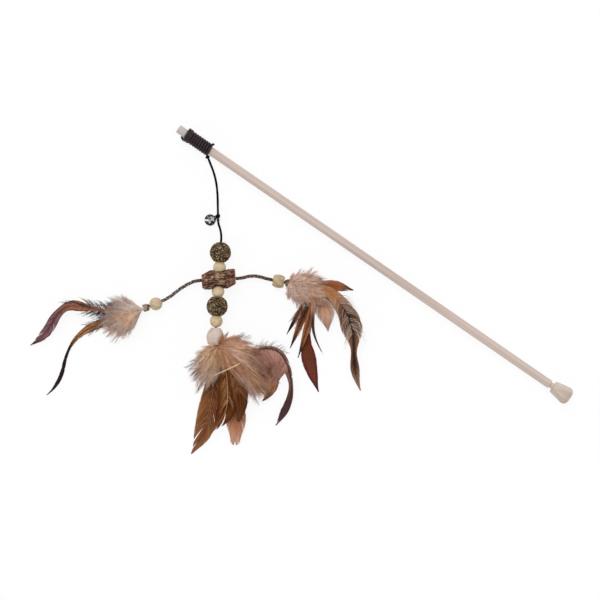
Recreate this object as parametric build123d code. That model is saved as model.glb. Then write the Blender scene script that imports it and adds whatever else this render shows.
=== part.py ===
"""Cat teaser wand: a turned rod with a feathered toy on a waxed cord, in millimetres.

+X runs along the rod from its tip to the end knob, +Z is up from the table that the wand lies on,
and the origin is the centre of the rod's tip face. The toy is laid out on its own plan, with x to
the right, y towards the rod and z up from the table, and then turned to lie beside the rod.
"""
from build123d import *
import math
import os

# Rod and end knob
rod_diameter = 8.0
rod_length = 419.5
tip_stub_length = 8.4
whipping_seat_depth = 0.3
tenon_diameter = 5.4
tenon_length = 15.0
neck_length = 3.5
knob_length = 19.0
knob_cone_length = 14.0
knob_front_diameter = 11.6
knob_diameter = 16.4
knob_end_diameter = 8.0
knob_rim_radius = 0.8
glue_gap = 0.05

# Waxed cord: whipping, knots and lead
cord_diameter = 2.0
whipping_pitch = 2.6
whipping_turns = 10
wind_clearance = 0.15
hitch_step = 1.65
knot_bulge_share = 0.45
lay_angle = 34.54
corner_share = 0.45

# Room between soft or curved faces on different bodies
seat_gap = 0.3

# Jingle bell on the lead
bell_diameter = 10.8
bell_wall = 0.45
bell_flange = 0.35
bell_seam = 0.4
bell_slot = 1.2
bell_slot_end_diameter = 2.2
bell_slot_share = 0.34
bell_turn = 0.0
eye_wire = 0.8
eye_sink = 0.25
pellet_diameter = 3.4

# Balls, beads and ferrule on the string
ball_diameter = 20.0
ball_dish = 2.2
bead_diameter = 12.0
bore_clearance = 0.3
ferrule_length = 15.8
ferrule_diameter = 16.6
ferrule_mouth_diameter = 12.4
ferrule_top_diameter = 8.6
ferrule_floor = 5.5
ferrule_cavity_diameter = 8.4

# Bark stick across the string
stick_length = 31.2
stick_diameter = 18.4
stick_dish = 4.0
stick_tilt = 6.5
stick_bevel = 2.2
stick_corner_length = 8.4
stick_corner_depth = 4.2
bark_sides = 10

# Braided arms with their beads and thread bindings
braid_diameter = 3.3
braid_drop = 3.7
barrel_length = 10.7
barrel_diameter = 12.5
barrel_end_diameter = 9.6
thread_diameter = 1.7
binding_pitch = 2.2
binding_turns = 2
binding_cover = 2.8
binding_room = 0.8

# Feathers and down
quill_diameter = 0.8
feather_thickness = 0.8
feather_tip = 0.5
feather_steps = 2
even_vane_share = 0.5
quill_ring_diameter = 2.3
plume_ring_diameter = 4.6
pile_height = 10.0
arm_first_side = 1
plume_first_side = -1
down_root_diameter = 4.4
plume_root_diameter = 10.0

# Routes of the cords on the toy's plan, x, y and height above the table
upper_lead_route = [
    (1.0, -2.5, 6.9),
    (3.1, -7.6, 5.9),
    (5.9, -15.0, 4.9),
    (8.2, -24.7, 4.2),
    (9.2, -35.5, 4.0),
    (9.4, -45.5, 4.7),
    (9.6, -53.0, 5.7),
]
lower_lead_route = [
    (9.6, -57.9, 5.8),
    (9.7, -61.6, 6.0),
    (11.6, -66.4, 7.4),
    (12.95, -73.2, 10.0),
    (12.59, -79.1, 10.0),
]

# Routes of the braided arms, from the pivot beside the stick
left_braid_route = [
    (0, 0, 0),
    (-4.6, -0.4, 0),
    (-10.6, -3.0, 0),
    (-19.4, -8.2, 0),
    (-31.3, -18.2, 0),
    (-50.1, -25.2, 0),
]
right_braid_route = [
    (0, 0, 0),
    (4.3, 0.35, 0),
    (11.3, 2.4, 0),
    (19.5, 2.1, 0),
    (29.0, -1.0, 0),
    (46.9, -4.1, 0),
]

# Turned profile of the bark, share of the stick's radius at each side, one row per cut along it
bark_cut_shares = (-0.5, -0.17, 0.2, 0.5)
bark_radius_shares = (
    (0.93, 0.97, 0.92, 0.98, 0.95, 0.90, 0.96, 0.93, 0.97, 0.94),
    (1.00, 0.95, 0.99, 0.96, 1.00, 0.95, 0.93, 0.99, 0.96, 0.98),
    (0.96, 1.00, 0.95, 0.99, 0.94, 0.98, 1.00, 0.94, 0.98, 0.95),
    (0.92, 0.95, 0.90, 0.94, 0.97, 0.92, 0.94, 0.90, 0.95, 0.91),
)

# Feathers: turns are degrees on the plan over equal lengths of the rachis, rises are shares of the
# pile height above the quill's root, and vanes are shares of the width, both from root to tip; a
# lopsided vane gives the share of it that lies to the rachis's left
left_feathers = {
    "left_upper_feather": {
        "length": 121.0, "width": 10.0, "roll": 12.0,
        "turns": (-24, 3, -8, -3, 52, 23, -19, -14),
        "rise_shares": (0.0, 0.1, 0.3, 0.4, 0.4, 0.3, 0.1, -0.15, -0.4),
        "vane_shares": (0.0, 0.05, 0.15, 0.4, 1.0, 0.75, 1.0, 0.85, 0.06),
    },
    "left_lower_feather": {
        "length": 129.0, "width": 9.0, "roll": -14.0,
        "turns": (-8, 9, 2, 18, 24, 14, -19, -22),
        "rise_shares": (0.0, -0.04, -0.12, -0.2, -0.25, -0.3, -0.36, -0.42, -0.48),
        "vane_shares": (0.0, 0.1, 0.75, 0.9, 0.55, 0.28, 0.38, 0.4, 0.06),
    },
}
right_feathers = {
    "right_short_spike": {
        "length": 57.0, "width": 4.0, "roll": 10.0,
        "turns": (-42, -61, -7, 1, -1),
        "rise_shares": (0.0, 0.35, 0.5, 0.3, 0.0, -0.3),
        "vane_shares": (0.0, 0.15, 0.6, 1.0, 0.8, 0.1),
    },
    "right_middle_spike": {
        "length": 70.5, "width": 6.4, "roll": -8.0,
        "turns": (-42, -58, -3, 1, -2),
        "rise_shares": (0.0, -0.15, -0.3, -0.36, -0.4, -0.46),
        "vane_shares": (0.0, 0.15, 0.7, 1.0, 0.65, 0.08),
    },
    "right_long_spike": {
        "length": 80.0, "width": 6.6, "roll": 10.0,
        "turns": (-37, -54, -5, 0, -2),
        "rise_shares": (0.0, 0.5, 0.75, 0.6, 0.25, -0.1),
        "vane_shares": (0.0, 0.15, 0.7, 1.0, 0.6, 0.08),
    },
    "right_rust_feather": {
        "length": 113.0, "width": 13.8, "roll": -6.0,
        "turns": (-33, -63, 5, 13, 10, 4, 4),
        "rise_shares": (0.0, -0.04, -0.08, -0.12, -0.2, -0.28, -0.36, -0.44),
        "vane_shares": (0.0, 0.1, 0.36, 0.47, 0.62, 1.0, 0.66, 0.06),
    },
    "right_thin_feather": {
        "length": 79.0, "width": 4.2, "roll": 8.0,
        "turns": (-32, -54, 7, 20, 11),
        "rise_shares": (0.0, 0.8, 1.1, 0.95, 0.6, 0.2),
        "vane_shares": (0.0, 0.3, 1.0, 0.8, 0.4, 0.1),
    },
    "right_pale_feather": {
        "length": 63.5, "width": 23.0, "roll": 4.0,
        "turns": (0, -40, -26, -5, -4),
        "rise_shares": (0.0, 0.06, 0.16, 0.2, 0.15, 0.05),
        "vane_shares": (0.0, 0.15, 0.8, 1.0, 0.65, 0.05),
    },
    "right_dark_feather": {
        "length": 135.0, "width": 20.0, "roll": 8.0,
        "turns": (4, -37, -16, -20, -12, 9, 13),
        "rise_shares": (0.0, 0.6, 1.0, 1.0, 0.7, 0.35, 0.0, -0.3),
        "vane_shares": (0.0, 0.1, 0.5, 0.8, 1.0, 0.3, 0.42, 0.05),
    },
    "right_top_feather": {
        "length": 57.0, "width": 9.5, "roll": -4.0,
        "turns": (10, -4, -9, -3),
        "rise_shares": (0.0, 0.2, 0.45, 0.55, 0.5),
        "vane_shares": (0.0, 0.1, 0.7, 1.0, 0.12),
    },
}
plume_feathers = {
    "plume_long_feather": {
        "length": 105.0, "width": 20.5, "roll": 6.0,
        "turns": (14, -18, -4, -3, -9, -12),
        "rise_shares": (0.0, -0.25, -0.45, -0.6, -0.7, -0.75, -0.8),
        "vane_shares": (0.0, 0.2, 0.75, 1.0, 1.0, 0.7, 0.06),
    },
    "plume_middle_feather": {
        "length": 87.5, "width": 18.0, "roll": -6.0,
        "turns": (50, -44, -2, -29, -15),
        "rise_shares": (0.0, 0.45, 0.65, 0.5, 0.2, -0.1),
        "vane_shares": (0.0, 0.2, 0.8, 1.0, 0.85, 0.08),
    },
    "plume_round_feather": {
        "length": 93.0, "width": 18.0, "roll": 6.0,
        "turns": (45, -22, -7, -7, -6, -4),
        "rise_shares": (0.0, -0.3, -0.48, -0.55, -0.55, -0.55, -0.6),
        "vane_shares": (0.0, 0.2, 0.6, 0.85, 1.0, 0.95, 0.3),
    },
    "plume_short_feather": {
        "length": 76.5, "width": 17.0, "roll": -6.0,
        "turns": (60, -32, -11, -12, -16),
        "rise_shares": (0.0, 0.7, 0.95, 0.8, 0.45, 0.1),
        "vane_shares": (0.0, 0.2, 0.7, 1.0, 0.8, 0.2),
    },
    "plume_inner_curl": {
        "length": 90.0, "width": 19.0, "left_vane_share": 0.35, "roll": 6.0,
        "turns": (83, 7, -16, -37, -49, -38),
        "rise_shares": (0.0, -0.1, -0.15, -0.2, -0.3, -0.4, -0.5),
        "vane_shares": (0.0, 0.2, 0.6, 0.95, 1.0, 0.7, 0.08),
    },
    "plume_outer_curl": {
        "length": 140.5, "width": 10.0, "left_vane_share": 0.3, "roll": -4.0,
        "turns": (84, 22, 13, -32, -48, -19, -12, -18, -18, -9),
        "rise_shares": (0.0, 0.3, 0.5, 0.6, 0.55, 0.4, 0.15, -0.1, -0.4, -0.6, -0.75),
        "vane_shares": (0.0, 0.1, 0.3, 0.6, 0.9, 1.0, 0.7, 0.4, 0.6, 0.7, 0.08),
    },
}

# Down: stations are shares of the length, widths and drifts to the side are shares of the width
left_down = {
    "length": 41.0, "width": 38.0, "height": 16.0,
    "station_shares": (0.0, 0.12, 0.5, 0.85, 1.0),
    "width_shares": (0.0, 0.4, 1.0, 0.8, 0.3),
    "drift_shares": (0.0, 0.0, -0.03, -0.05, -0.05),
}
right_down = {
    "length": 54.0, "width": 36.0, "height": 20.0,
    "station_shares": (0.0, 0.14, 0.45, 0.8, 1.0),
    "width_shares": (0.0, 0.6, 1.0, 0.85, 0.4),
    "drift_shares": (0.0, -0.02, -0.06, -0.1, -0.12),
}
plume_down = {
    "length": 44.0, "width": 66.0, "height": 26.0,
    "station_shares": (0.0, 0.12, 0.45, 0.8, 1.0),
    "width_shares": (0.0, 0.6, 1.0, 0.9, 0.5),
    "drift_shares": (0.0, 0.13, 0.22, 0.24, 0.24),
}

# Sizes that follow from those above
rod_radius = rod_diameter / 2
cord_radius = cord_diameter / 2
braid_radius = braid_diameter / 2
ball_radius = ball_diameter / 2
bead_radius = bead_diameter / 2
bell_radius = bell_diameter / 2
whipping_start = tip_stub_length + cord_radius + wind_clearance
whipping_length = whipping_pitch * whipping_turns
hitch_x = whipping_start + whipping_length + hitch_step
hitch_y = -(rod_radius + wind_clearance + cord_diameter)
hitch_z = -cord_radius
table_z = -knob_diameter / 2
string_lean = math.degrees(math.atan2(
    lower_lead_route[-1][0] - lower_lead_route[-2][0],
    lower_lead_route[-2][1] - lower_lead_route[-1][1],
))
upper_ball_station = ball_radius
upper_bead_station = upper_ball_station + ball_radius + bead_radius - ball_dish
stick_station = upper_bead_station + bead_radius + stick_diameter / 2 - stick_dish
middle_bead_station = stick_station + stick_diameter / 2 + bead_radius - stick_dish
lower_ball_station = middle_bead_station + bead_radius + ball_radius - ball_dish
lower_bead_station = lower_ball_station + ball_radius + bead_radius - ball_dish
ferrule_station = lower_bead_station + bead_radius + seat_gap
knot_half_length = cord_diameter
knot_core_radius = cord_radius * (1 + wind_clearance)
stop_knot_station = ferrule_station + ferrule_floor + seat_gap + knot_half_length
plume_root_station = stop_knot_station + knot_half_length + seat_gap
bell_reach = cord_radius + bore_clearance + eye_wire - eye_sink + bell_radius
pellet_drop = bell_radius - bell_wall - pellet_diameter / 2 - seat_gap

# Frames of the toy: on the table beside the rod, down the string, along the stick
toy_frame = Pos(hitch_x, hitch_y, table_z) * Rot(0, 0, lay_angle)
string_frame = toy_frame * Pos(*lower_lead_route[-1]) * Rot(0, 0, string_lean) * Rot(90, 0, 0)
stick_frame = string_frame * Pos(0, 0, stick_station) * Rot(0, stick_tilt, 0)
pivot_reach = stick_length / 2 + braid_radius + seat_gap
plan_turn = Rot(0, 0, lay_angle)
left_frame = Pos((stick_frame * Pos(-pivot_reach, -braid_drop, 0)).position) * plan_turn
right_frame = Pos((stick_frame * Pos(pivot_reach, -braid_drop, 0)).position) * plan_turn
bell_joint = (lower_lead_route[0][0], lower_lead_route[0][1] - eye_wire, lower_lead_route[0][2])
bell_frame = toy_frame * Pos(*bell_joint) * Pos(-bell_reach, 0, 0)
bell_knot_place = Vector(*upper_lead_route[-1]) - Vector(0, knot_half_length + wind_clearance, 0)


def last_run_frame(route):
    """Frame at a route's end, with x along its last run on the plan."""
    step = Vector(route[-1]) - Vector(route[-2])
    return Pos(*route[-1]) * Rot(0, 0, math.degrees(math.atan2(step.Y, step.X)))


left_tassel_frame = left_frame * last_run_frame(left_braid_route)
right_tassel_frame = right_frame * last_run_frame(right_braid_route)
plume_axes = Plane(origin=(0, 0, plume_root_station), x_dir=(0, 0, 1), z_dir=(0, 1, 0))
plume_frame = string_frame * plume_axes.location


def cord_tube(name, route, diameter):
    """Tube along straight runs joined by tangent arcs as large as the runs allow."""
    radii = []
    for before, here, after in zip(route, route[1:], route[2:]):
        run_in = Vector(here) - Vector(before)
        run_out = Vector(after) - Vector(here)
        half_turn = math.radians(run_in.get_angle(run_out)) / 2
        radii.append(corner_share * min(run_in.length, run_out.length) / math.tan(half_turn))
    path = FilletPolyline(*route, radius=radii)
    tube = sweep(Plane(origin=path @ 0, z_dir=path % 0) * Circle(diameter / 2), path=path)
    expected = math.pi * diameter ** 2 / 4 * path.length
    print(name, "radii", [round(radius, 1) for radius in radii], "length", round(path.length, 1),
          "volume ratio", round(tube.volume / expected, 4))
    return tube.solid()


def biarc(start, start_way, end, end_way):
    """Two tangent arcs from one point and direction to another."""
    chord = end - start
    ways = start_way + end_way
    spread = 4 - ways.dot(ways)
    along = chord.dot(ways)
    reach = (math.sqrt(along ** 2 + spread * chord.dot(chord)) - along) / spread
    first_corner = start + start_way * reach
    second_corner = end - end_way * reach
    join = (first_corner + second_corner) * 0.5
    arcs = []
    for tail, corner, head in ((start, first_corner, join), (join, second_corner, end)):
        middle = (tail + head) * 0.5
        half_turn_cosine = (head - tail).length / (2 * reach)
        arcs.append(ThreePointArc(tail, corner + (middle - corner) / (1 + half_turn_cosine), head))
    return arcs


def winding(name, diameter, core_radius, pitch, turns, last_angle):
    """One unbroken tube wound along +x from the origin, ending at last_angle."""
    radius = core_radius + wind_clearance + diameter / 2
    half_turns = 2 * turns
    places = []
    for half_turn in range(half_turns + 1):
        angle = math.radians(last_angle + 180 * (half_turn - half_turns))
        place = Vector(pitch * half_turn / 2, radius * math.cos(angle), radius * math.sin(angle))
        way = Vector(pitch / (2 * math.pi), -radius * math.sin(angle), radius * math.cos(angle))
        places.append((place, way.normalized()))
    first, first_way = places[0]
    last, last_way = places[-1]
    edges = [Line(first - first_way * diameter, first)]
    for (start, start_way), (end, end_way) in zip(places, places[1:]):
        edges += biarc(start, start_way, end, end_way)
    edges.append(Line(last, last + last_way * diameter))
    path = Wire(edges)
    print(name, "least gap to itself", round(least_gap(path, turns) - diameter, 2))
    return sweep(Plane(origin=path @ 0, z_dir=path % 0) * Circle(diameter / 2), path=path).solid()


def least_gap(path, turns):
    """Least distance between points of a path that lie over half a turn apart."""
    steps_per_turn = 24
    steps = steps_per_turn * turns
    points = [path @ (step / steps) for step in range(steps + 1)]
    apart = steps_per_turn // 2 + 1
    return min((points[here] - points[there]).length
               for here in range(steps + 1) for there in range(here + apart, steps + 1))


def turned(points, arcs=()):
    """Solid turned about x, from points of distance along and radius; arcs bulge to a middle point."""
    edges = []
    bulges = dict(arcs)
    for index, (start, end) in enumerate(zip(points, points[1:] + points[:1])):
        if index in bulges:
            edges.append(ThreePointArc(start, bulges[index], end))
        else:
            edges.append(Line(start, end))
    return revolve(make_face(edges), Axis.X).solid()


def rod():
    """Dowel sawn square at its tip, with a shallow seat for the whipping and a tenon for the knob."""
    seat_end = whipping_start + whipping_length + cord_radius + wind_clearance
    seat_radius = rod_radius - whipping_seat_depth
    tenon_radius = tenon_diameter / 2
    tenon_end = rod_length + tenon_length
    return turned([
        (0, 0), (0, rod_radius), (tip_stub_length, rod_radius), (tip_stub_length, seat_radius),
        (seat_end, seat_radius), (seat_end, rod_radius), (rod_length, rod_radius),
        (rod_length, tenon_radius), (tenon_end, tenon_radius), (tenon_end, 0),
    ])


def end_knob():
    """Turned knob with a blind bore over the tenon."""
    front = rod_length + neck_length
    back = front + knob_length
    widest = front + knob_cone_length
    bore = tenon_diameter / 2 + glue_gap
    bore_end = rod_length + tenon_length + glue_gap
    front_radius = knob_front_diameter / 2
    knob_radius = knob_diameter / 2
    end_radius = knob_end_diameter / 2
    rim = knob_rim_radius
    corner = rim * (1 - math.sqrt(0.5))
    crown_x = widest + (back - widest) * math.sqrt(0.5)
    crown_radius = end_radius + (knob_radius - end_radius) * math.sqrt(0.5)
    outline = [
        (front, bore), (front, front_radius - rim), (front + rim, front_radius), (widest, knob_radius),
        (back, end_radius), (back, 0), (bore_end, 0), (bore_end, bore),
    ]
    return turned(outline, ((1, (front + corner, front_radius - corner)), (3, (crown_x, crown_radius))))


def knot():
    """Two turns of the cord drawn tight round itself, along x about the origin."""
    crown = knot_core_radius + cord_diameter * knot_bulge_share
    outline = [
        (-knot_half_length, 0), (-knot_half_length, knot_core_radius), (0, knot_core_radius),
        (knot_half_length, knot_core_radius), (knot_half_length, 0),
    ]
    return turned(outline, ((1, (-knot_half_length / 2, crown)), (2, (knot_half_length / 2, crown))))


def drilled(solid, bore_diameter, length):
    """A solid with a bore along z through its middle."""
    return (solid - Cylinder(bore_diameter / 2, length)).solid()


def bell_half():
    """Half of the bell's spun shell above its seam, with the rolled flange, along z."""
    outer = bell_radius
    inner = bell_radius - bell_wall
    shell = Sphere(outer) - Sphere(inner)
    flange = Cylinder(outer + bell_flange, bell_seam, align=(Align.CENTER, Align.CENTER, Align.MIN))
    flange -= Sphere(inner)
    upper = Cylinder(bell_diameter, bell_diameter, align=(Align.CENTER, Align.CENTER, Align.MIN))
    return (shell & upper) + flange


def bell_eye():
    """Wire eye that the lead runs through, with its foot sunk in the cap."""
    ring_radius = cord_radius + bore_clearance + eye_wire / 2
    return Pos(0, 0, bell_reach) * Rot(90, 0, 0) * Torus(ring_radius, eye_wire / 2)


def bell_cup():
    """Lower half with two crossed slots that end in round holes."""
    cup = Rot(180, 0, 0) * bell_half()
    slot_top = -bell_radius * bell_slot_share
    slot = Box(bell_diameter, bell_slot, bell_radius, align=(Align.CENTER, Align.CENTER, Align.MAX))
    for turn in (0, 90):
        cup -= Rot(0, 0, turn) * Pos(0, 0, slot_top) * slot
        hole = Pos(0, 0, slot_top) * Rot(0, 90, turn) * Cylinder(bell_slot_end_diameter / 2, bell_diameter)
        cup -= hole
    return cup.solid()


def ball(dish_sides):
    """Pressed ball along z, dished where a bead beds into it."""
    body = Sphere(ball_radius)
    bead_offset = ball_radius + bead_radius - ball_dish
    for side in dish_sides:
        body -= Pos(0, 0, side * bead_offset) * Sphere(bead_radius + seat_gap)
    return drilled(body, cord_diameter + 2 * bore_clearance, ball_diameter)


def barrel_bead():
    """Turned barrel bead along x."""
    half = barrel_length / 2
    bore = braid_radius + bore_clearance
    end_radius = barrel_end_diameter / 2
    outline = [(-half, bore), (-half, end_radius), (half, end_radius), (half, bore)]
    return turned(outline, ((1, (0, barrel_diameter / 2)),))


def ferrule_bead():
    """Acorn-shaped cap along x, hollow below for the stop knot and the quills."""
    bore = cord_radius + bore_clearance
    cavity = ferrule_cavity_diameter / 2
    outline = [
        (0, bore), (0, ferrule_top_diameter / 2), (ferrule_length / 2, ferrule_diameter / 2),
        (ferrule_length, ferrule_mouth_diameter / 2), (ferrule_length, cavity),
        (ferrule_floor, cavity), (ferrule_floor, bore),
    ]
    shoulder = (ferrule_length / 4, (ferrule_top_diameter + 2 * ferrule_diameter) / 6)
    waist = (ferrule_length * 3 / 4, (ferrule_mouth_diameter + 2 * ferrule_diameter) / 6)
    return turned(outline, ((1, shoulder), (2, waist)))


def bark_stick():
    """Log of bark with one bevelled end and two cut corners, in the stick's frame, before it is drilled."""
    cuts = []
    for cut_share, radius_shares in zip(bark_cut_shares, bark_radius_shares):
        corners = []
        for side, radius_share in enumerate(radius_shares):
            angle = 2 * math.pi * side / bark_sides
            radius = stick_diameter / 2 * radius_share
            corners.append((stick_length * cut_share, radius * math.cos(angle), radius * math.sin(angle)))
        cuts.append(Face(Wire.make_polygon(corners)))
    log = loft(cuts, ruled=True)
    end_edges = log.edges().group_by(Axis.X)
    log = chamfer(end_edges[0], stick_bevel)
    end, side = -stick_length / 2, -stick_diameter / 2
    corner = Plane.XZ * make_face(Polyline(
        (end, side), (end + stick_corner_length, side), (end, side + stick_corner_depth), close=True))
    cut = extrude(corner, amount=stick_diameter, both=True)
    return log - cut - Rot(0, 180, 0) * cut


def drilled_stick():
    """The log with the string's bore, the dishes for the beads and the braid's bore."""
    log = stick_frame * bark_stick()
    for station in (upper_bead_station, middle_bead_station):
        log -= string_frame * Pos(0, 0, station) * Sphere(bead_radius + seat_gap)
    bore = Cylinder(cord_radius + bore_clearance, 2 * stick_diameter)
    log -= string_frame * Pos(0, 0, stick_station) * bore
    braid_bore = Rot(0, 90, 0) * Cylinder(braid_radius + wind_clearance, 2 * stick_length)
    log -= stick_frame * Pos(0, -braid_drop, 0) * braid_bore
    return log.solid()


def braid(name, route):
    """Braided arm with a round start at its pivot."""
    return (cord_tube(name, route, braid_diameter) + Sphere(braid_radius)).solid()


def smooth_share(shares, place):
    """Share at a place counted in rows of a table, on a smooth curve through its rows."""
    row = min(int(place), len(shares) - 2)
    part = place - row
    before, here, there, after = (shares[min(max(index, 0), len(shares) - 1)]
                                  for index in range(row - 1, row + 3))
    slope_here = (there - before) / 2
    slope_there = (after - here) / 2
    blend = part * part * (3 - 2 * part)
    return (here + (there - here) * blend + slope_here * part * (1 - part) ** 2
            - slope_there * part ** 2 * (1 - part))


def diamond(centre, heading, roll, width, left_share, thick):
    """Thin section across a rachis, rolled about it."""
    ahead = Vector(math.cos(heading), math.sin(heading), 0)
    level = Vector(-math.sin(heading), math.cos(heading), 0)
    across = level * math.cos(roll) + Vector(0, 0, math.sin(roll))
    above = ahead.cross(across)
    return Face(Wire.make_polygon([
        centre - across * (width * (1 - left_share)), centre + above * (thick / 2),
        centre + across * (width * left_share), centre - above * (thick / 2),
    ]))


def feather(spec, root, stem):
    """Blade with a thick rachis: a loft of thin diamonds along a rachis that turns on the plan."""
    steps = feather_steps * len(spec["turns"])
    step_length = spec["length"] / steps
    place = Vector(*root) + Vector(stem, 0, 0)
    heading = 0.0
    left_share = spec.get("left_vane_share", even_vane_share)
    diamonds = [diamond(Vector(*root), heading, 0, quill_diameter, even_vane_share, feather_thickness)]
    for step in range(steps + 1):
        row = step / feather_steps
        share = step / steps
        height = root[2] * (1 - share) + pile_height * smooth_share(spec["rise_shares"], row)
        width = max(spec["width"] * smooth_share(spec["vane_shares"], row), quill_diameter)
        thick = feather_thickness + (feather_tip - feather_thickness) * share
        roll = math.radians(spec["roll"]) * min(1, 2 * share)
        centre = Vector(place.X, place.Y, height)
        diamonds.append(diamond(centre, heading, roll, width, left_share, thick))
        if step < steps:
            turn = math.radians(spec["turns"][step // feather_steps]) / feather_steps
            way = heading + turn / 2
            place += Vector(math.cos(way), math.sin(way), 0) * step_length
            heading += turn
    return loft(diamonds, ruled=True).solid()


def quill_roots(count, ring_diameter, first_side):
    """Roots of the quills on a ring, neighbours in the fan on opposite sides of it."""
    roots = []
    for index in range(count):
        side = first_side if index % 2 == 0 else -first_side
        angle = side * math.pi * (index + 0.5) / count
        roots.append((seat_gap, -ring_diameter / 2 * math.cos(angle), side * abs(
            ring_diameter / 2 * math.sin(angle))))
    return roots


def tassel(specs, frame, ring_diameter, stem, first_side):
    """Every feather of a tassel, in the order of its fan."""
    roots = quill_roots(len(specs), ring_diameter, first_side)
    return {name: frame * feather(spec, root, stem) for (name, spec), root in zip(specs.items(), roots)}


def down(spec, frame, start, root_diameter, height_above_table):
    """Cloud of down: a loft of ellipses that lies flat on the table."""
    sections = []
    shares = zip(spec["station_shares"], spec["width_shares"], spec["drift_shares"])
    for station_share, width_share, drift_share in shares:
        across = max(spec["width"] * width_share, root_diameter) / 2
        upright = max(spec["height"] * width_share, root_diameter) / 2
        centre = (start + spec["length"] * station_share, spec["width"] * drift_share, 0)
        sections.append(Plane(origin=centre, x_dir=(0, 1, 0), z_dir=(1, 0, 0)) * Ellipse(across, upright))
    cloud = loft(sections)
    table = Box(4 * spec["length"], 4 * spec["length"], spec["height"],
                align=(Align.CENTER, Align.CENTER, Align.MAX))
    return (frame * (cloud - Pos(0, 0, -height_above_table) * table)).solid()


def build():
    """Every node of the wand, by name."""
    nodes = {"rod": rod(), "end_knob": end_knob()}
    seat_radius = rod_radius - whipping_seat_depth
    whipping = winding("whipping", cord_diameter, seat_radius, whipping_pitch, whipping_turns, 180)
    nodes["whipping"] = Pos(whipping_start, 0, 0) * whipping
    nodes["lead_hitch"] = Pos(hitch_x, hitch_y, hitch_z) * Rot(0, 0, lay_angle - 90) * knot()
    nodes["upper_lead"] = toy_frame * cord_tube("upper_lead", upper_lead_route, cord_diameter)
    nodes["bell_knot"] = toy_frame * Pos(bell_knot_place) * Rot(0, 0, -90) * knot()
    nodes["lower_lead"] = toy_frame * cord_tube("lower_lead", lower_lead_route, cord_diameter)

    bell_place = bell_frame * Rot(0, 90, 0) * Rot(0, 0, bell_turn)
    eye = bell_frame * Rot(0, 90, 0) * bell_eye()
    nodes["bell_eye"] = eye.solid()
    nodes["bell_cap"] = (bell_place * bell_half() - eye).solid()
    nodes["bell_cup"] = bell_place * bell_cup()
    nodes["bell_pellet"] = (bell_frame * Pos(0, 0, -pellet_drop) * Sphere(pellet_diameter / 2)).solid()

    core_length = stop_knot_station - knot_half_length
    core = Cylinder(cord_radius, core_length, align=(Align.CENTER, Align.CENTER, Align.MIN))
    nodes["string_core"] = (string_frame * core).solid()
    nodes["stop_knot"] = string_frame * Pos(0, 0, stop_knot_station) * Rot(0, 90, 0) * knot()
    bead = drilled(Sphere(bead_radius), cord_diameter + 2 * bore_clearance, bead_diameter)
    nodes["upper_ball"] = string_frame * Pos(0, 0, upper_ball_station) * ball((1,))
    nodes["upper_bead"] = string_frame * Pos(0, 0, upper_bead_station) * bead
    nodes["bark_stick"] = drilled_stick()
    nodes["middle_bead"] = string_frame * Pos(0, 0, middle_bead_station) * bead
    nodes["lower_ball"] = string_frame * Pos(0, 0, lower_ball_station) * ball((-1, 1))
    nodes["lower_bead"] = string_frame * Pos(0, 0, lower_bead_station) * bead
    nodes["ferrule_bead"] = string_frame * Pos(0, 0, ferrule_station) * Rot(0, -90, 0) * ferrule_bead()
    braid_core = Rot(0, 90, 0) * Cylinder(braid_radius, stick_length)
    nodes["braid_core"] = (stick_frame * Pos(0, -braid_drop, 0) * braid_core).solid()

    arm_bead = Rot(0, 90, 0) * drilled(Sphere(bead_radius), braid_diameter + 2 * bore_clearance, bead_diameter)
    arms = (
        ("left", left_frame, left_braid_route, left_tassel_frame, arm_bead, bead_radius),
        ("right", right_frame, right_braid_route, right_tassel_frame, barrel_bead(), barrel_length / 2),
    )
    for side, frame, route, end_frame, side_bead, half_bead in arms:
        nodes[side + "_braid"] = frame * braid(side + "_braid", route)
        nodes[side + "_bead"] = end_frame * Pos(-binding_cover - binding_room - half_bead, 0, 0) * side_bead
        thread = winding(side + "_binding", thread_diameter, braid_radius, binding_pitch, binding_turns, 90)
        nodes[side + "_binding"] = end_frame * Pos(thread_diameter / 2 - binding_cover, 0, 0) * thread

    arm_height = string_frame.position.Z - table_z - braid_drop
    down_start = binding_turns * binding_pitch + thread_diameter - binding_cover + seat_gap
    nodes["left_down"] = down(left_down, left_tassel_frame, down_start, down_root_diameter, arm_height)
    nodes["right_down"] = down(right_down, right_tassel_frame, down_start, down_root_diameter, arm_height)
    plume_start = ferrule_station + ferrule_length + seat_gap - plume_root_station
    string_height = string_frame.position.Z - table_z
    nodes["plume_down"] = down(plume_down, plume_frame, plume_start, plume_root_diameter, string_height)
    nodes.update(tassel(left_feathers, left_tassel_frame, quill_ring_diameter, down_start, arm_first_side))
    nodes.update(tassel(right_feathers, right_tassel_frame, quill_ring_diameter, down_start, arm_first_side))
    nodes.update(tassel(plume_feathers, plume_frame, plume_ring_diameter, plume_start, plume_first_side))
    return nodes


if __name__ == "__main__":
    os.makedirs("parts", exist_ok=True)
    for node_name, node in build().items():
        export_step(node, os.path.join("parts", node_name + ".step"))
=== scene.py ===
# %% [markdown]
# # A cat teaser wand, dressed in Blender
# The wand lies flat on a white table: a pale turned rod, a black waxed lead with a jingle bell, and a toy of
# flecked balls, wooden beads, a bark stick and braided arms that end in feathers. The solids already have the
# right sizes and joints, so this lesson keeps the turned wood and metal and replaces what is soft or rough.

# %% Load the frame
import math
import random

import bmesh
import bpy
from mathutils import Matrix, Vector, noise


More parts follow.
